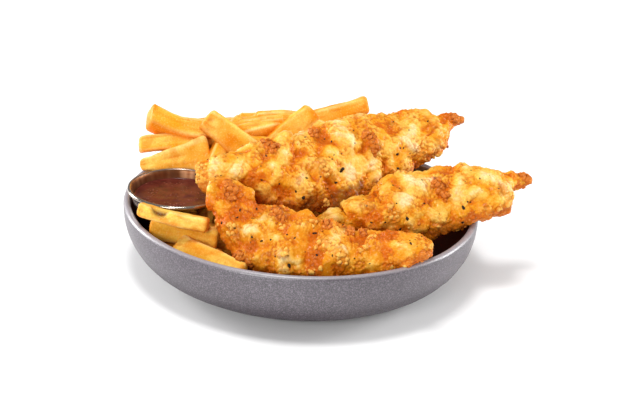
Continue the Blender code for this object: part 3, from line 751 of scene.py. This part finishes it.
def add_dip():
    """The dip, with a low meniscus and waves and pulp on its skin."""
    floor = POT_TOP - POT_HEIGHT + POT_WALL + GAP
    top = POT_TOP - DIP_DROP
    edge = pot_radius(top) - POT_WALL - GAP
    foot = pot_radius(floor) - POT_WALL - GAP - 3.0
    rings = 64
    profile = [(edge * k / rings, top) for k in range(rings)]
    profile += [(edge - 0.2, top + 0.35), (edge, top + 0.45)]
    profile += [(foot + 2.6, floor + 3.2), (foot, floor), (0.0, floor)]
    points, faces, _ = lathe(profile, DIP_TURNS, POT_AT)
    r = np.hypot(points[:, 0] - POT_AT[0], points[:, 1] - POT_AT[1])
    flat = points * (1, 1, 0)
    pulp = (1 - step(0.15, 0.4, cells(flat, 1.7, 5.0))) * step(-0.1, 0.2, field(flat, 6, 3.0))
    wave = 0.22 * field(flat, 14, 1.0) + 0.16 * field(flat, 5, 8.0) + 0.28 * pulp
    skin = (points[:, 2] > top - 0.1) & (r < edge - 0.1)
    points[:, 2] += np.where(skin, np.clip(wave, -0.3, 0.45) * step(edge, edge - 3, r), 0)
    made = add_mesh("dip_brown", points, faces, dip_look(), {"pulp": pulp * skin})
    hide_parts("dip_sauce")
    return made


def smooth_rows(rows, count):
    """Rows interpolated by a Catmull-Rom spline at equal steps of length."""
    rows = np.array(rows, float)
    ends = np.vstack([2 * rows[0] - rows[1], rows, 2 * rows[-1] - rows[-2]])
    steps = 24
    fine = []
    for i in range(1, len(ends) - 2):
        a, b, c, d = ends[i - 1:i + 3]
        for t in np.arange(steps) / steps:
            fine.append(0.5 * (2 * b + (c - a) * t + (2 * a - 5 * b + 4 * c - d) * t ** 2
                               + (3 * b - a - 3 * c + d) * t ** 3))
    fine = np.array(fine + [rows[-1]])
    run = np.r_[0, np.cumsum(np.linalg.norm(np.diff(fine[:, :3], axis=0), axis=1))]
    at = np.linspace(0, run[-1], count)
    return np.stack([np.interp(at, run, fine[:, k]) for k in range(fine.shape[1])], 1)


def frames(rows):
    """Centres with the direction of the length, the width and the face for each row."""
    centre = rows[:, :3]
    along = np.gradient(centre, axis=0)
    along /= np.linalg.norm(along, axis=1)[:, None]
    tilt = np.radians(rows[:, 5])
    wide = np.stack([0 * tilt, np.cos(tilt), np.sin(tilt)], 1)
    wide -= along * np.sum(wide * along, axis=1)[:, None]
    wide /= np.linalg.norm(wide, axis=1)[:, None]
    return centre, along, wide, np.cross(along, wide)


def tender_form(tender):
    """The tender's body as in the CAD, on a fine grid with rounded ends.

    After it come each column's place across the tender and each ring's share of fine relief.
    """
    rings, sides, caps = TENDER_RINGS, TENDER_SIDES, TENDER_CAPS
    rows = smooth_rows(tender.rows, rings)
    centre, along, wide, face = frames(rows)
    a, b = rows[:, 3], rows[:, 4]
    where = np.linspace(0, 1, rings)
    close = (np.arange(caps) + 1) / (caps + 1) * pi / 2
    head = centre[0] - along[0] * (b[0] * TENDER_POINT) * np.sin(close[::-1])[:, None]
    tail = centre[-1] + along[-1] * (b[-1] * TENDER_POINT) * np.sin(close)[:, None]
    centre = np.vstack([head, centre, tail])
    shrink = np.r_[np.cos(close[::-1]), np.ones(rings), np.cos(close)]
    index = np.r_[np.zeros(caps, int), np.arange(rings), np.full(caps, rings - 1)]
    a, b, wide, face, where = a[index], b[index], wide[index], face[index], where[index]
    turn = 2 * pi * np.arange(sides) / sides
    c, s = np.cos(turn), np.sin(turn)
    full = (abs(c) ** SECTION_POWER + abs(s) ** SECTION_POWER) ** (-1 / SECTION_POWER)
    centre, wide, face = centre[:, None], wide[:, None], face[:, None]
    spot = centre + wide * np.outer(a * shrink, c * full)[..., None]
    spot += face * np.outer(b * shrink, s * full)[..., None]
    out = wide * np.outer(1 / a, c)[..., None] + face * np.outer(1 / b, s)[..., None]
    out /= np.linalg.norm(out, axis=2)[..., None]
    rise = SWELL_HEIGHT * noise_at(spot / SWELL_SIZE, (tender.seed, 0, 0))
    rise += CRAG_HEIGHT * noise_at(spot / CRAG_SIZE, (0, tender.seed, 0))
    rise *= np.minimum(1, b / 10)[:, None] * (0.7 + 0.3 * s)
    for at, angle, radius, height in tender.lumps:
        away = (where - at)[:, None] * LUMP_LENGTH
        round_it = ((a + b) / 2)[:, None] * abs((turn - radians(angle) + pi) % (2 * pi) - pi)
        rise += height * np.exp(-(away ** 2 + round_it ** 2) / (0.6 * radius) ** 2)
    points = spot + out * (rise * shrink[:, None])[..., None]
    return points, c, np.minimum(1, b / 8) * (0.25 + 0.75 * shrink)


def grid_normals(points):
    """Outward normals of a grid of points that closes round its second axis."""
    round_it = np.roll(points, -1, axis=1) - np.roll(points, 1, axis=1)
    normal = np.cross(round_it, np.gradient(points, axis=0))
    normal *= np.sign(np.sum(normal * (points - points.mean(axis=1)[:, None])))
    return normal / np.maximum(np.linalg.norm(normal, axis=2), 1e-9)[..., None]


def on_surface(tree, x, y):
    """Where the camera's line of sight through a point of the frame meets a surface, or None."""
    return tree.ray_cast(camera_axes()[0], sight(x, y))[0]


def each_spot(tender):
    """Kind, place in the frame and radius of every spot on a tender."""
    return [(kind, *place) for kind, *places in tender.spots for place in places]


def spot_masks(tender, points, tree):
    """How much of each kind of spot there is at every point, from 0 to 1."""
    masks = {kind: np.zeros(points.shape[:2]) for kind in "PBCAD"}
    ragged = 0.7 * field(points, 6.5, tender.seed + 5) + 0.4 * field(points, 2.8, tender.seed + 9)
    for kind, x, y, radius in each_spot(tender):
        spot = on_surface(tree, x, y)
        if spot is None:
            continue
        away = np.linalg.norm(points - np.array(spot), axis=2) / radius + ragged
        low, high = (0.75, 1.15) if kind in "BC" else (0.35, 1.35)
        masks[kind] = np.maximum(masks[kind], 1 - step(low, high, away))
    return masks


def battered(tender, points, across, small, masks):
    """The tender's points moved out to the skin of its crust, and their colours."""
    seed, deep = tender.seed, tender.deep
    normal = grid_normals(points)
    swell, pillow, fine, grain, mottle, fold, folded = (
        field(points, size, seed + shift) for size, shift in CRUST_NOISE.values())
    lobes, nubs, domes, grit = (
        bumps(points, size, reach, seed + shift) for size, reach, shift in CRUST_BUMPS.values())
    folds = (1 - step(0.0, 0.09, abs(fold))) * step(-0.05, 0.25, folded)
    # How much a point faces down; painted shade goes there.
    under = step(0.3, -0.5, normal[..., 2])
    rim = step(0.6, 0.97, abs(across)) * (0.4 + 0.6 * step(0.4, -0.4, normal[..., 2]))
    stray = step(0.42, 0.52, mottle + 0.1 * under + 0.06 * rim)
    crumbs = np.maximum(masks["B"], 0.5 * np.maximum(masks["C"], stray)) * (1 - 0.8 * masks["P"])
    rough = np.clip(1 - 0.7 * masks["P"], 0, 1)
    gritty = step(-0.25, 0.2, field(points, 8, seed + 21)) * rough * (1 - crumbs)
    lift = 2.2 * swell + pillow + 1.7 * (domes - 0.5) + 0.8 * masks["P"] - 0.5 * folds
    lift += rim * 1.7 * (lobes - 0.5) + crumbs * (0.9 + 1.5 * nubs)
    lift += rough * (0.42 * fine + 0.2 * grain) + 0.1 * grain + 0.8 * gritty * (grit - 0.4)
    lift = lift * small[:, None] - 0.25
    points = kept_in(points + normal * lift[..., None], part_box(tender.node))
    cream, gold, amber = srgb(247, 200, 90), srgb(234, 158, 26), srgb(212, 106, 4)
    orange, brown, rust = srgb(214, 108, 20), srgb(158, 62, 4), srgb(138, 50, 8)
    painted_highlight, tan, toast, shade_brown = srgb(252, 232, 176), srgb(186, 80, 2), srgb(198, 90, 2), srgb(86, 26, 2)

    # The tone is high on what stands out and low in folds and stains: painted highlight on the
    # raised parts and painted shade in the folds, over the crust's own colour.
    tone = 1.4 * swell + 0.8 * pillow + 0.8 * (domes - 0.6) + 0.65 * masks["P"] - 0.4 * folds
    tone += 0.3 * fine + 0.25 * grain + 0.5 * field(points, 24, seed + 7)
    tone -= 0.4 * masks["A"] + deep
    colour = layered(
        mix(amber, gold, step(-0.8, -0.1, tone)),
        (tan, 0.5 * step(-0.4, -1.2, tone)),
        (cream, (0.95 - 0.5 * deep) * step(-0.3 + deep, 0.6 + deep, tone)),
        (toast, deep * step(0.8, -0.2, tone)),
        # Painted highlight: the palest colour on the highest tone.
        (painted_highlight, (0.85 - 0.5 * deep) * step(0.55, 1.4, tone)),
        # Painted shade in the gaps between grit granules and painted highlight on their tops.
        (mix(amber, brown, 0.3 + deep), 0.75 * gritty * (1 - grit) ** 2),
        (cream, 0.5 * gritty * step(0.75, 1.0, grit) * step(-0.6, 0.2, tone)),
        # Painted shade: brown along the folds.
        (brown, 0.35 * folds * rough),
        # Painted shade on faces that point down, amber and in patches brown, with the underside's own
        # browning.
        (amber, 0.75 * under),
        (brown, 0.45 * under * step(-0.15, 0.3, mottle)),
        # Painted shadow: dark brown on the D spots, under the back tender where the tenders shade it.
        (shade_brown, 0.9 * masks["D"]),
        # Orange along the side edges, stronger where they face down: the edges' browning with some
        # painted shade.
        (orange, 0.35 * rim * step(-0.2, 0.3, field(points, 6, seed + 8))),
        # Crumbs in their own brown, with painted highlight in orange on the nubs' tops and painted
        # shade in rust between them.
        (mix(rust, orange, step(0.1, 0.75, nubs)), 0.9 * crumbs))
    return points, colour


def add_tender(tender):
    """A battered tender: folds, crags and crumbs on the CAD's form, painted by their height, with
    painted highlight up high and painted shade down low.
    """
    points, across, small = tender_form(tender)
    rings, sides = points.shape[:2]
    tree = BVHTree.FromPolygons(points.reshape(-1, 3).tolist(), grid_faces(rings, sides))
    masks = spot_masks(tender, points, tree)
    points, colour = battered(tender, points, across, small, masks)
    faces, flat = closed_faces(rings, sides), with_poles(points)
    made = add_mesh(tender.piece, flat, faces, CRUST, {"paint": with_poles(colour)})
    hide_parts(tender.node)
    return made, BVHTree.FromPolygons(flat.tolist(), faces)


class Bits:
    """Many small lumpy balls gathered into one piece, each with its own seeded form."""

    def __init__(self, seed):
        self.draw = Random(seed)
        self.points, self.colours, self.faces = [], [], []
        work = bmesh.new()
        bmesh.ops.create_icosphere(work, subdivisions=2, radius=1.0)
        work.verts.index_update()
        self.ball = np.array([v.co[:] for v in work.verts])
        self.rows = [[v.index for v in f.verts] for f in work.faces]
        work.free()

    def lump(self, size, depth):
        """A ball of radius 1 with swellings of a size and a depth."""
        return self.ball * (1 + depth * field(self.ball, size, self.draw.uniform(0, 90)))[:, None]

    def place(self, form, turn, spot):
        """Add a form, turned and moved to a spot."""
        start = len(self.points)
        self.points.extend((form @ np.array(turn).T + np.array(spot)).tolist())
        self.faces.extend([tuple(start + v for v in f) for f in self.rows])


def add_nodule(bits, tree, centres, near, radius, dark, light):
    """A nodule of crust on the surface nearest to a spot, painted light on top and painted shade at its
    foot.
    """
    spot, normal, _, _ = tree.find_nearest(near)
    middle = centres[int(np.argmin(np.linalg.norm(centres - np.array(spot), axis=1)))]
    if normal.dot(spot - Vector(middle)) < 0:
        normal = -normal
    form = bits.lump(0.9, 0.7)
    form = form * (radius * bits.draw.uniform(0.8, 1.3), radius, radius * 0.8)
    turn = normal.to_track_quat("Z", "Y").to_matrix()
    bits.place(form, turn, spot - normal * radius * 0.15)
    # Painted light and shade: each nodule runs from its dark foot to its light top.
    shade = np.clip(0.35 + 0.6 * form[:, 2] / radius + bits.draw.uniform(-0.2, 0.2), 0, 1)
    bits.colours.extend(mix(dark, light, shade).tolist())


def add_crumbs(trees):
    """Nodules of crust: clusters on the brown and light patches, single ones at the edges."""
    bits = Bits(8)
    draw = bits.draw
    # Each pair: a nodule's foot colour in painted shade, then its top colour in painted light.
    brown = srgb(150, 62, 14), srgb(220, 128, 46)
    light = srgb(208, 112, 16), srgb(248, 200, 96)
    for tree, tender in zip(trees, TENDERS):
        centres, _, wide, face = frames(smooth_rows(tender.rows, STATIONS))
        for kind, x, y, radius in each_spot(tender):
            spot = on_surface(tree, x, y)
            if spot is None or kind not in NODULES:
                continue
            for _ in range(NODULES[kind]):
                away = Vector([draw.gauss(0, 0.42 * radius) for _ in range(3)])
                add_nodule(bits, tree, centres, spot + away, draw.uniform(0.8, 1.8),
                           *(brown if kind == "B" else light))
        for _ in range(NODULES_EDGE):
            i = draw.randrange(1, STATIONS - 1)
            side = draw.choice((-1, 1)) * wide[i] + draw.gauss(-0.3, 0.35) * face[i]
            near = tree.ray_cast(Vector(centres[i]), Vector(side))[0]
            if near is not None:
                tones = light if draw.random() < 0.45 else brown
                add_nodule(bits, tree, centres, near, draw.uniform(0.6, 1.3), *tones)
    made = add_mesh("crumbs", kept_in(bits.points, CAD_BOX), bits.faces, CRUST,
                    {"paint": np.array(bits.colours)})
    return made


def add_flake(bits, spot, normal, radius):
    """A flat flake of pepper on a surface."""
    draw = bits.draw
    spin = Matrix.Rotation(draw.uniform(0, 2 * pi), 3, "Z")
    form = bits.lump(1.1, 0.9)
    form = form * (radius * draw.uniform(0.7, 1.1), radius * draw.uniform(0.5, 0.8), radius * 0.38)
    bits.place(form, Vector(normal).to_track_quat("Z", "Y").to_matrix() @ spin, spot)


def add_pepper(trees):
    """Flakes of black pepper where the photograph shows them, and fine ones all over."""
    bits = Bits(5)
    draw = bits.draw
    place = camera_axes()[0]
    for x, y, radius in PEPPER:
        hits = [tree.ray_cast(place, sight(x, y)) for tree in trees]
        hits = [h for h in hits if h[0] is not None]
        if hits:
            spot, normal, _, _ = min(hits, key=lambda h: h[3])
            add_flake(bits, spot, normal, radius)
    for tree, tender in zip(trees, TENDERS):
        centres = smooth_rows(tender.rows, STATIONS)[:, :3]
        for _ in range(tender.flakes):
            middle = Vector(centres[draw.randrange(2, STATIONS - 2)])
            away = Vector((draw.gauss(0, 1), draw.gauss(0, 1), draw.gauss(0.4, 1))).normalized()
            spot = tree.ray_cast(middle, away)[0]
            if spot is not None:
                add_flake(bits, spot, away, draw.choice(FLAKES_FINE))
    made = add_mesh("pepper", bits.points, bits.faces, pepper_look())
    return made


class Clearance:
    """Tells how far points are from the bowl's wall, the pot and the tenders."""

    def __init__(self):
        self.tenders = []
        for tender in TENDERS:
            rows = smooth_rows(tender.rows, STATIONS)
            self.tenders.append((rows, *frames(rows)))

    def tender_below(self, x, y):
        """Height of the lowest tender surface above a spot, or a large number."""
        lowest = 1000.0
        for rows, centre, _, _, _ in self.tenders:
            i = int(np.argmin(abs(centre[:, 0] - x)))
            if abs(centre[i, 0] - x) > 4 + rows[i, 4]:
                continue
            a, b, tilt = rows[i, 3] + RELIEF, rows[i, 4] + RELIEF, radians(rows[i, 5])
            reach = np.hypot(a * cos(tilt), b * sin(tilt))
            side = (y - centre[i, 1]) / reach
            if abs(side) < 1:
                drop = np.hypot(a * sin(tilt), b * cos(tilt))
                skew = (a * a - b * b) * sin(tilt) * cos(tilt) / reach * side
                depth = a * b / reach * np.sqrt(1 - side * side)
                lowest = min(lowest, centre[i, 2] + skew - min(depth, drop))
        return lowest

    def crosses(self, p):
        """Whether a point is in, or within a small gap of, something else than fries."""
        x, y, z = p
        r = np.hypot(x, y)
        if z < BOWL_HEIGHT + FRY_CLEARANCE and r > wall_radius(z) - FRY_CLEARANCE:
            return True
        from_pot = np.hypot(x - POT_AT[0], y - POT_AT[1])
        if POT_TOP - 3 < z < POT_TOP + OVER_POT and from_pot < POT_RADIUS + FRY_CLEARANCE:
            return True
        if POT_TOP - POT_HEIGHT - 1 < z < POT_TOP and from_pot < pot_radius(z) + FRY_CLEARANCE:
            return True
        for rows, centre, along, wide, face in self.tenders:
            i = int(np.argmin(np.linalg.norm(centre - p, axis=1)))
            d = p - centre[i]
            u = (d @ wide[i]) / (rows[i, 3] + RELIEF)
            v = (d @ face[i]) / (rows[i, 4] + RELIEF)
            w = max(0.0, abs(d @ along[i]) - 2.0) / (rows[i, 4] + RELIEF)
            if u * u + v * v + w * w < 1.0:
                return True
        return False


def fry_axes(fry):
    """Start, end and the directions of a fry's length, width and thickness."""
    start, end = Vector(fry[0:3]), Vector(fry[3:6])
    roll = radians(fry[8])
    along = (end - start).normalized()
    side = along.cross(Vector((0, 0, 1))).normalized()
    up = side.cross(along)
    side, up = side * cos(roll) + up * sin(roll), up * cos(roll) - side * sin(roll)
    return start, end, along, side, up


def fry_points(fry, rings):
    """Rings of eight points along a fry, as in the CAD."""
    width, thick, _, bow, left, right = fry[6:12]
    start, end, _, side, up = fry_axes(fry)
    points = []
    for i in range(rings):
        t = i / (rings - 1)
        middle = start.lerp(end, t) + Vector((0, 0, bow * 4 * t * (1 - t)))
        keep = left + (right - left) * t
        ends = FRY_END if i in (0, rings - 1) else 1.0
        w, h = width / 2 * keep * ends, thick / 2 * (0.4 + 0.6 * keep) * ends
        for u, v in ((1, 0.6), (0.7, 1), (-0.7, 1), (-1, 0.6), (-1, -0.6), (-0.7, -1), (0.7, -1),
                     (1, -0.6)):
            points.append(middle + side * (w * u) + up * (h * v))
    return points


def fitted(fry, clearance):
    """The fry, shortened at the end that crosses something until it is clear, or None."""
    fry = list(fry)
    rings, cut = 7, 0.06
    for _ in range(16):
        points = fry_points(fry, rings)
        hits = [i for i, p in enumerate(points) if clearance.crosses(np.array(p))]
        if not hits:
            break
        start, end = Vector(fry[0:3]), Vector(fry[3:6])
        if sum(hits) / len(hits) < len(points) / 2:
            fry[0:3] = start.lerp(end, cut)
        else:
            fry[3:6] = start.lerp(end, 1 - cut)
    else:
        return None
    length = (Vector(fry[3:6]) - Vector(fry[0:3])).length
    return fry if length > FRY_SHORTEST else None


def heap_height(x, y):
    """Height of the heap of fries over the table, before it is fitted round the rest."""
    blocks = [top * np.exp(-((x - at_x) / half_x) ** square - ((y - at_y) / half_y) ** square)
              for top, at_x, half_x, at_y, half_y, square in HEAP_BLOCKS]
    return min(max(blocks), BOWL_HEIGHT + HEAP_SLOPE * (CORE_EDGE - np.hypot(x, y)))


def core_edge(turn):
    """How far the heap reaches from the bowl's axis in a direction; the right side is bare."""
    off = abs((turn - radians(BARE_AT) + pi) % (2 * pi) - pi)
    share = step(0.0, 1.0, (off - radians(BARE_HALF)) / radians(BARE_SOFT))
    return CORE_EDGE_RIGHT + (CORE_EDGE - CORE_EDGE_RIGHT) * share


def core_top(x, y, clearance):
    """Top of the heap's core at a spot, under the fries that lie on it."""
    top = heap_height(x, y) - CORE_UNDER + 1.5 * noise.noise(Vector((x, y, 0)) / 11)
    if np.hypot(x - POT_AT[0], y - POT_AT[1]) < POT_RADIUS + 9:
        top = min(top, POT_TOP - POT_HEIGHT - GAP)
    nearby = [clearance.tender_below(x + dx, y + dy) for dx in (-7, 0, 7) for dy in (-7, 0, 7)]
    return min([top] + [h - 1.0 for h in nearby])


def add_core(clearance):
    """The heap's own core, painted dark as the shade between the fries."""
    top, bottom = [], []
    for k in range(1, CORE_RINGS + 1):
        for j in range(CORE_TURNS):
            turn = 2 * pi * j / CORE_TURNS
            r = (core_edge(turn) - CORE_BACK) * k / CORE_RINGS
            x, y = r * cos(turn), r * sin(turn)
            floor = wall_height(r) + CORE_GAP
            rise = core_top(x, y, clearance) - CORE_LOWER
            rise += CORE_ROUGH * noise.noise(Vector((x, y, 9)) / 7)
            bottom.append((x, y, floor))
            top.append((x, y, max(floor + 1.0, rise)))
    shape = (CORE_RINGS, CORE_TURNS, 3)
    grid = np.concatenate([np.reshape(bottom, shape), np.reshape(top, shape)[::-1]])
    apex = max(BOWL_FLOOR + 3, core_top(0.0, 0.0, clearance))
    flat = np.vstack([grid.reshape(-1, 3), (0, 0, BOWL_FLOOR + CORE_GAP), (0, 0, apex)])
    shade = np.clip(0.5 + field(flat, 9, 2.0), 0, 1)
    # Painted shade: the core's dark brown stands for the shadow in the gaps between the fries.
    colour = mix(srgb(84, 32, 6), srgb(136, 64, 10), shade)
    made = add_mesh("fries_under", flat, closed_faces(2 * CORE_RINGS, CORE_TURNS), POTATO,
                    {"paint": colour})
    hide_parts("fries")
    return made


def spread(k, count, first, last):
    """Direction of one of several things spread evenly between two angles in degrees."""
    return radians(first + (last - first) * (k + 0.5) / count)


def level_ends(x, y, turn, half):
    """Both ends of a fry in the plane, from its middle, its direction and half its length."""
    dx, dy = half * cos(turn), half * sin(turn)
    return (x - dx, y - dy), (x + dx, y + dy)


def drawn_fry(draw, ends, high, roll, bow):
    """A fry between two ends at two heights, its other sizes drawn."""
    width, thick = draw.uniform(*FRY_WIDTH), draw.uniform(*FRY_THICK)
    roll = draw.uniform(*roll)
    bow = draw.uniform(0, bow) if bow else 0
    return (*ends[0], high[0], *ends[1], high[1], width, thick, roll, bow,
            draw.uniform(*FRY_KEEP), draw.uniform(*FRY_KEEP))


def more_fries(clearance):
    """Fries spread over the heap's back and along its foot, sized by a seeded draw."""
    draw = Random(FRY_SEED)
    made = []
    for k in range(FRIES_MORE):
        around = spread(k, FRIES_MORE, HEAP_FROM, HEAP_TO)
        r = HEAP_REACH[0] + (HEAP_REACH[1] - HEAP_REACH[0]) * (k * 0.618 % 1)
        x, y = r * cos(around), r * sin(around)
        turn = around + radians(90 + draw.gauss(0, HEAP_SWING))
        ends = level_ends(x, y, turn, draw.uniform(*FRY_LENGTH) / 2)
        low = heap_height(x, y) - HEAP_SINK
        high = [max(heap_height(*end), low) + draw.uniform(0, HEAP_LIFT) for end in ends]
        made.append(fitted(drawn_fry(draw, ends, high, HEAP_ROLL, HEAP_BOW), clearance))
    for k in range(FRIES_LOW):
        around = spread(k, FRIES_LOW, LOW_FROM, LOW_TO)
        r = LOW_REACH[k % 2]
        x, y = r * cos(around), r * sin(around)
        turn = around + radians(90 + draw.gauss(0, LOW_SWING))
        ends = level_ends(x, y, turn, draw.uniform(*FRY_LENGTH) / 2)
        first = heap_height(x, y) + draw.uniform(*LOW_SINK)
        high = first, first + draw.uniform(*LOW_SLOPE)
        made.append(fitted(drawn_fry(draw, ends, high, LOW_ROLL, 0), clearance))
    return made


def sunk_fries(clearance):
    """Fries half sunk in the core wherever it would show bare."""
    draw = Random(FRY_SEED + 1)
    made = []
    for k in range(FRIES_SUNK):
        around = k * pi * (3 - 5 ** 0.5)
        r = (core_edge(around) - 3) * ((k + 0.5) / FRIES_SUNK) ** 0.5
        turn, half = draw.uniform(0, pi), draw.uniform(*SUNK_HALF)
        if r > SUNK_WALL:
            turn, half = around + radians(90 + draw.gauss(0, 18)), draw.uniform(*SUNK_HALF_WALL)
        width, thick, roll = (draw.uniform(*span) for span in SUNK_SIZES)
        keep = draw.uniform(*FRY_KEEP), draw.uniform(*FRY_KEEP)
        down = 0.5 * thick + (k % 3) * 2
        found = None
        for inward in SUNK_INWARD:
            x, y = (r - inward) * cos(around), (r - inward) * sin(around)
            ends = level_ends(x, y, turn, half)
            lift = core_top(x, y, clearance) - down
            high = [min(core_top(*end, clearance) - down, lift + 4) for end in ends]
            if min(high) > BOWL_FLOOR + 5:
                found = fitted((*ends[0], high[0], *ends[1], high[1], width, thick, roll, 0, *keep),
                               clearance)
            if found:
                break
        made.append(found)
    return made


def fry_stick(fry, power, rings, sides):
    """A smooth fry as a grid of points, which come last.

    Before them come each ring's way along the fry, its way from an end and its middle, and the
    section's cosines and sines, round and then squared.
    """
    width, thick, _, bow, left, right = fry[6:12]
    start, end, along, side, up = (np.array(v) for v in fry_axes(fry))
    nose = thick * FRY_NOSE
    length = np.linalg.norm(end - start)
    full = length + 2 * nose
    even = np.linspace(0, 1, rings)
    run = (even - FRY_CROWD * np.sin(2 * pi * even) / (2 * pi)) * full
    from_end = np.minimum(run, full - run)
    closing = np.clip(1 - from_end / FRY_ROUND, 0, 1)
    ends = np.maximum((1 - closing ** FRY_ROUND_POWER) ** (1 / FRY_ROUND_POWER), 0.04)
    share = np.clip((run - nose) / length, 0, 1)
    keep = left + (right - left) * share
    middle = start + along * (run - nose)[:, None]
    middle[:, 2] += bow * 4 * share * (1 - share)
    turn = 2 * pi * (np.arange(sides) + 0.5) / sides
    c, s = np.cos(turn), np.sin(turn)
    square = (abs(c) ** power + abs(s) ** power) ** (-1 / power)
    points = middle[:, None] + side * np.outer(width / 2 * keep * ends, c * square)[..., None]
    points += up * np.outer(thick / 2 * (0.4 + 0.6 * keep) * ends, s * square)[..., None]
    return run, from_end, middle, (c, s, c * square, s * square), points


def fry_hollow(points, out):
    """How much of the hollow, painted dark as shade, there is at every point, seen along the line of
    sight.
    """
    place, line = np.array(camera_axes()[0]), np.array(sight(*HOLLOW_AT))
    aside = np.linalg.norm(np.cross(points - place, line), axis=2)
    return (1 - step(0.4 * HOLLOW_WIDE, HOLLOW_WIDE, aside)) * step(0.0, 0.4, -(out @ line))


def fry_form(fry, number, rings, sides):
    """A fry's points and colours: a soft-edged stick with cut ends, slightly uneven."""
    width, thick = fry[6:8]
    side, up = (np.array(v) for v in fry_axes(fry)[3:])
    power = Random(number + 40).uniform(*FRY_SQUARE)
    run, from_end, middle, (c, s, cu, sv), points = fry_stick(fry, power, rings, sides)
    out = side * c[:, None] + up * s[:, None]
    flatness = np.stack([np.sign(c) * abs(c) ** 5, np.sign(s) * abs(s) ** 5], 1)
    flatness /= np.linalg.norm(flatness, axis=1)[:, None]
    rise = flatness[:, 0] * side[2] + flatness[:, 1] * up[2]
    shift = number * 3.1

    # Ridges and grooves run along the fry, so their noise is stretched that way.
    local = np.broadcast_arrays(run[:, None] / 7, width / 2 * cu, thick / 2 * sv)
    local = np.stack(local, -1)
    ridge = field(local, 4.5, shift + 2)
    groove = 1 - step(0.0, 0.07, abs(field(local, 5.0, shift + 3)))
    groove *= step(0.0, 0.3, field(points, 16, shift + 4))
    dent = 0.8 * field(points, 15, shift) + 0.3 * field(points, 5, shift + 1) + 0.5 * ridge - 0.2
    dent += 0.15 * field(points, 2.4, shift) - 0.35 * groove
    points = points + out * (dent * np.minimum(1, from_end / 3)[:, None])[..., None]
    hollow = fry_hollow(points, out) * (number == HOLLOW_FRY)
    points = points - out * (HOLLOW_DEEP * hollow)[..., None]

    light, gold, painted_light_yellow = srgb(249, 204, 92), srgb(240, 168, 30), srgb(255, 200, 64)
    warm, shade_brown, dark, painted_highlight = srgb(228, 124, 0), srgb(188, 82, 0), srgb(70, 22, 4), srgb(252, 226, 150)
    brown = FRY_BROWN[number] if number < len(FRY_BROWN) else FRY_BROWN_MORE
    patch = field(points, 12, shift + 5)
    # How much a face points down; such faces get painted shade.
    down_shade = step(0.55, -0.5, rise + 0.25 * patch)
    height = (points - middle[:, None])[..., 2] * 2 / (width * abs(side[2]) + thick * abs(up[2]))
    streak = step(0.05, 0.4, field(local, 2.6, shift + 7)) * (0.6 + 0.8 * patch)
    corner = step(0.72, 0.95, np.minimum(abs(cu), abs(sv)) / np.maximum(abs(cu), abs(sv)))
    edge = step(-0.5, 0.1, ridge) * (1 - 0.6 * down_shade)
    tips = (1 - np.minimum(1, from_end / 4))[:, None] * (0.5 + field(points, 4, shift + 6))
    colour = layered(
        mix(gold, light, np.clip(0.6 - 0.5 * brown + 1.4 * patch, 0, 1)),
        (warm, 0.5 * max(0.0, brown)),
        # Painted light: a fry browned under -0.4 turns lighter and yellower, for the one in shade.
        (painted_light_yellow, max(0.0, -brown - 0.4)),
        # Painted shade: warmer and darker on faces that point down and low on the fry.
        (warm, (0.6 + 0.25 * brown) * np.maximum(down_shade, step(0.3, -0.8, height + patch))),
        # Painted shade in the groove.
        (shade_brown, 0.5 * groove),
        (warm, np.clip(0.6 * streak, 0, 1)),
        # Painted highlight along the fry's corners.
        (painted_highlight, 0.8 * corner * edge),
        (warm, np.clip(tips, 0, 0.5)),
        (warm, 0.45 * step(0.2, 0.5, field(points, 8, shift + 9))),
        # Painted shade: near-black in the hollow.
        (dark, 0.95 * hollow))
    return with_poles(points), with_poles(colour)


def add_fries(clearance):
    """All the fries as one piece, those that show first."""
    groups = ([fitted(fry, clearance) for fry in FRIES_SHOWN], more_fries(clearance),
              sunk_fries(clearance))
    points, colours, faces = [], [], []
    start = number = 0
    for fries, rings, sides in zip(groups, FRY_RINGS, FRY_SIDES):
        for fry in fries:
            number += 1
            if not fry:
                continue
            flat, paint = fry_form(fry, number - 1, rings, sides)
            faces += closed_faces(rings, sides, start)
            points.append(flat)
            colours.append(paint)
            start += len(flat)
    made = add_mesh("fries_cut", kept_in(np.vstack(points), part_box("fries")), faces, POTATO,
                    {"paint": np.vstack(colours)})
    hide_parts("fries")
    return made


def outward_normals(ob):
    """Turn the faces of a closed piece outwards."""
    work = bmesh.new()
    work.from_mesh(ob.data)
    bmesh.ops.recalc_face_normals(work, faces=work.faces)
    work.to_mesh(ob.data)
    work.free()


def add_light(name, place, size, power):
    """A white area light that faces the part."""
    data = bpy.data.lights.new(name, "AREA")
    data.shape = "RECTANGLE"
    data.size, data.size_y = size
    data.energy = power
    made = bpy.data.objects.new(name, data)
    made.location = place
    made.rotation_mode = "QUATERNION"
    made.rotation_quaternion = (Vector(LIGHT_AIM) - Vector(place)).to_track_quat("-Z", "Y")
    bpy.context.scene.collection.objects.link(made)


def add_studio():
    """White surroundings, the lights and the ground."""
    world = bpy.data.worlds.new("studio")
    world.use_nodes = True
    back = world.node_tree.nodes["Background"]
    back.inputs["Color"].default_value = (1.0, 1.0, 1.0, 1.0)
    back.inputs["Strength"].default_value = WORLD_LIGHT
    bpy.context.scene.world = world
    bpy.context.scene.view_settings.view_transform = "Standard"
    for light in LIGHTS:
        add_light(*light)
    corners = [(x * FLOOR_HALF, y * FLOOR_HALF, 0) for x, y in ((-1, -1), (1, -1), (1, 1), (-1, 1))]
    floor = add_mesh("floor", np.array(corners) / MM, [(0, 1, 2, 3)], floor_look())


CRUST = crust_look()
POTATO = potato_look()
add_camera()
add_studio()
pieces = [add_bowl(), add_pot(), add_dip()]
trees = []
for tender in TENDERS:
    piece, tree = add_tender(tender)
    pieces.append(piece)
    trees.append(tree)
pieces += [add_crumbs(trees), add_pepper(trees)]
clear = Clearance()
pieces += [add_core(clear), add_fries(clear)]
for piece in pieces:
    outward_normals(piece)
    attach(piece, "root")
bpy.context.view_layer.update()
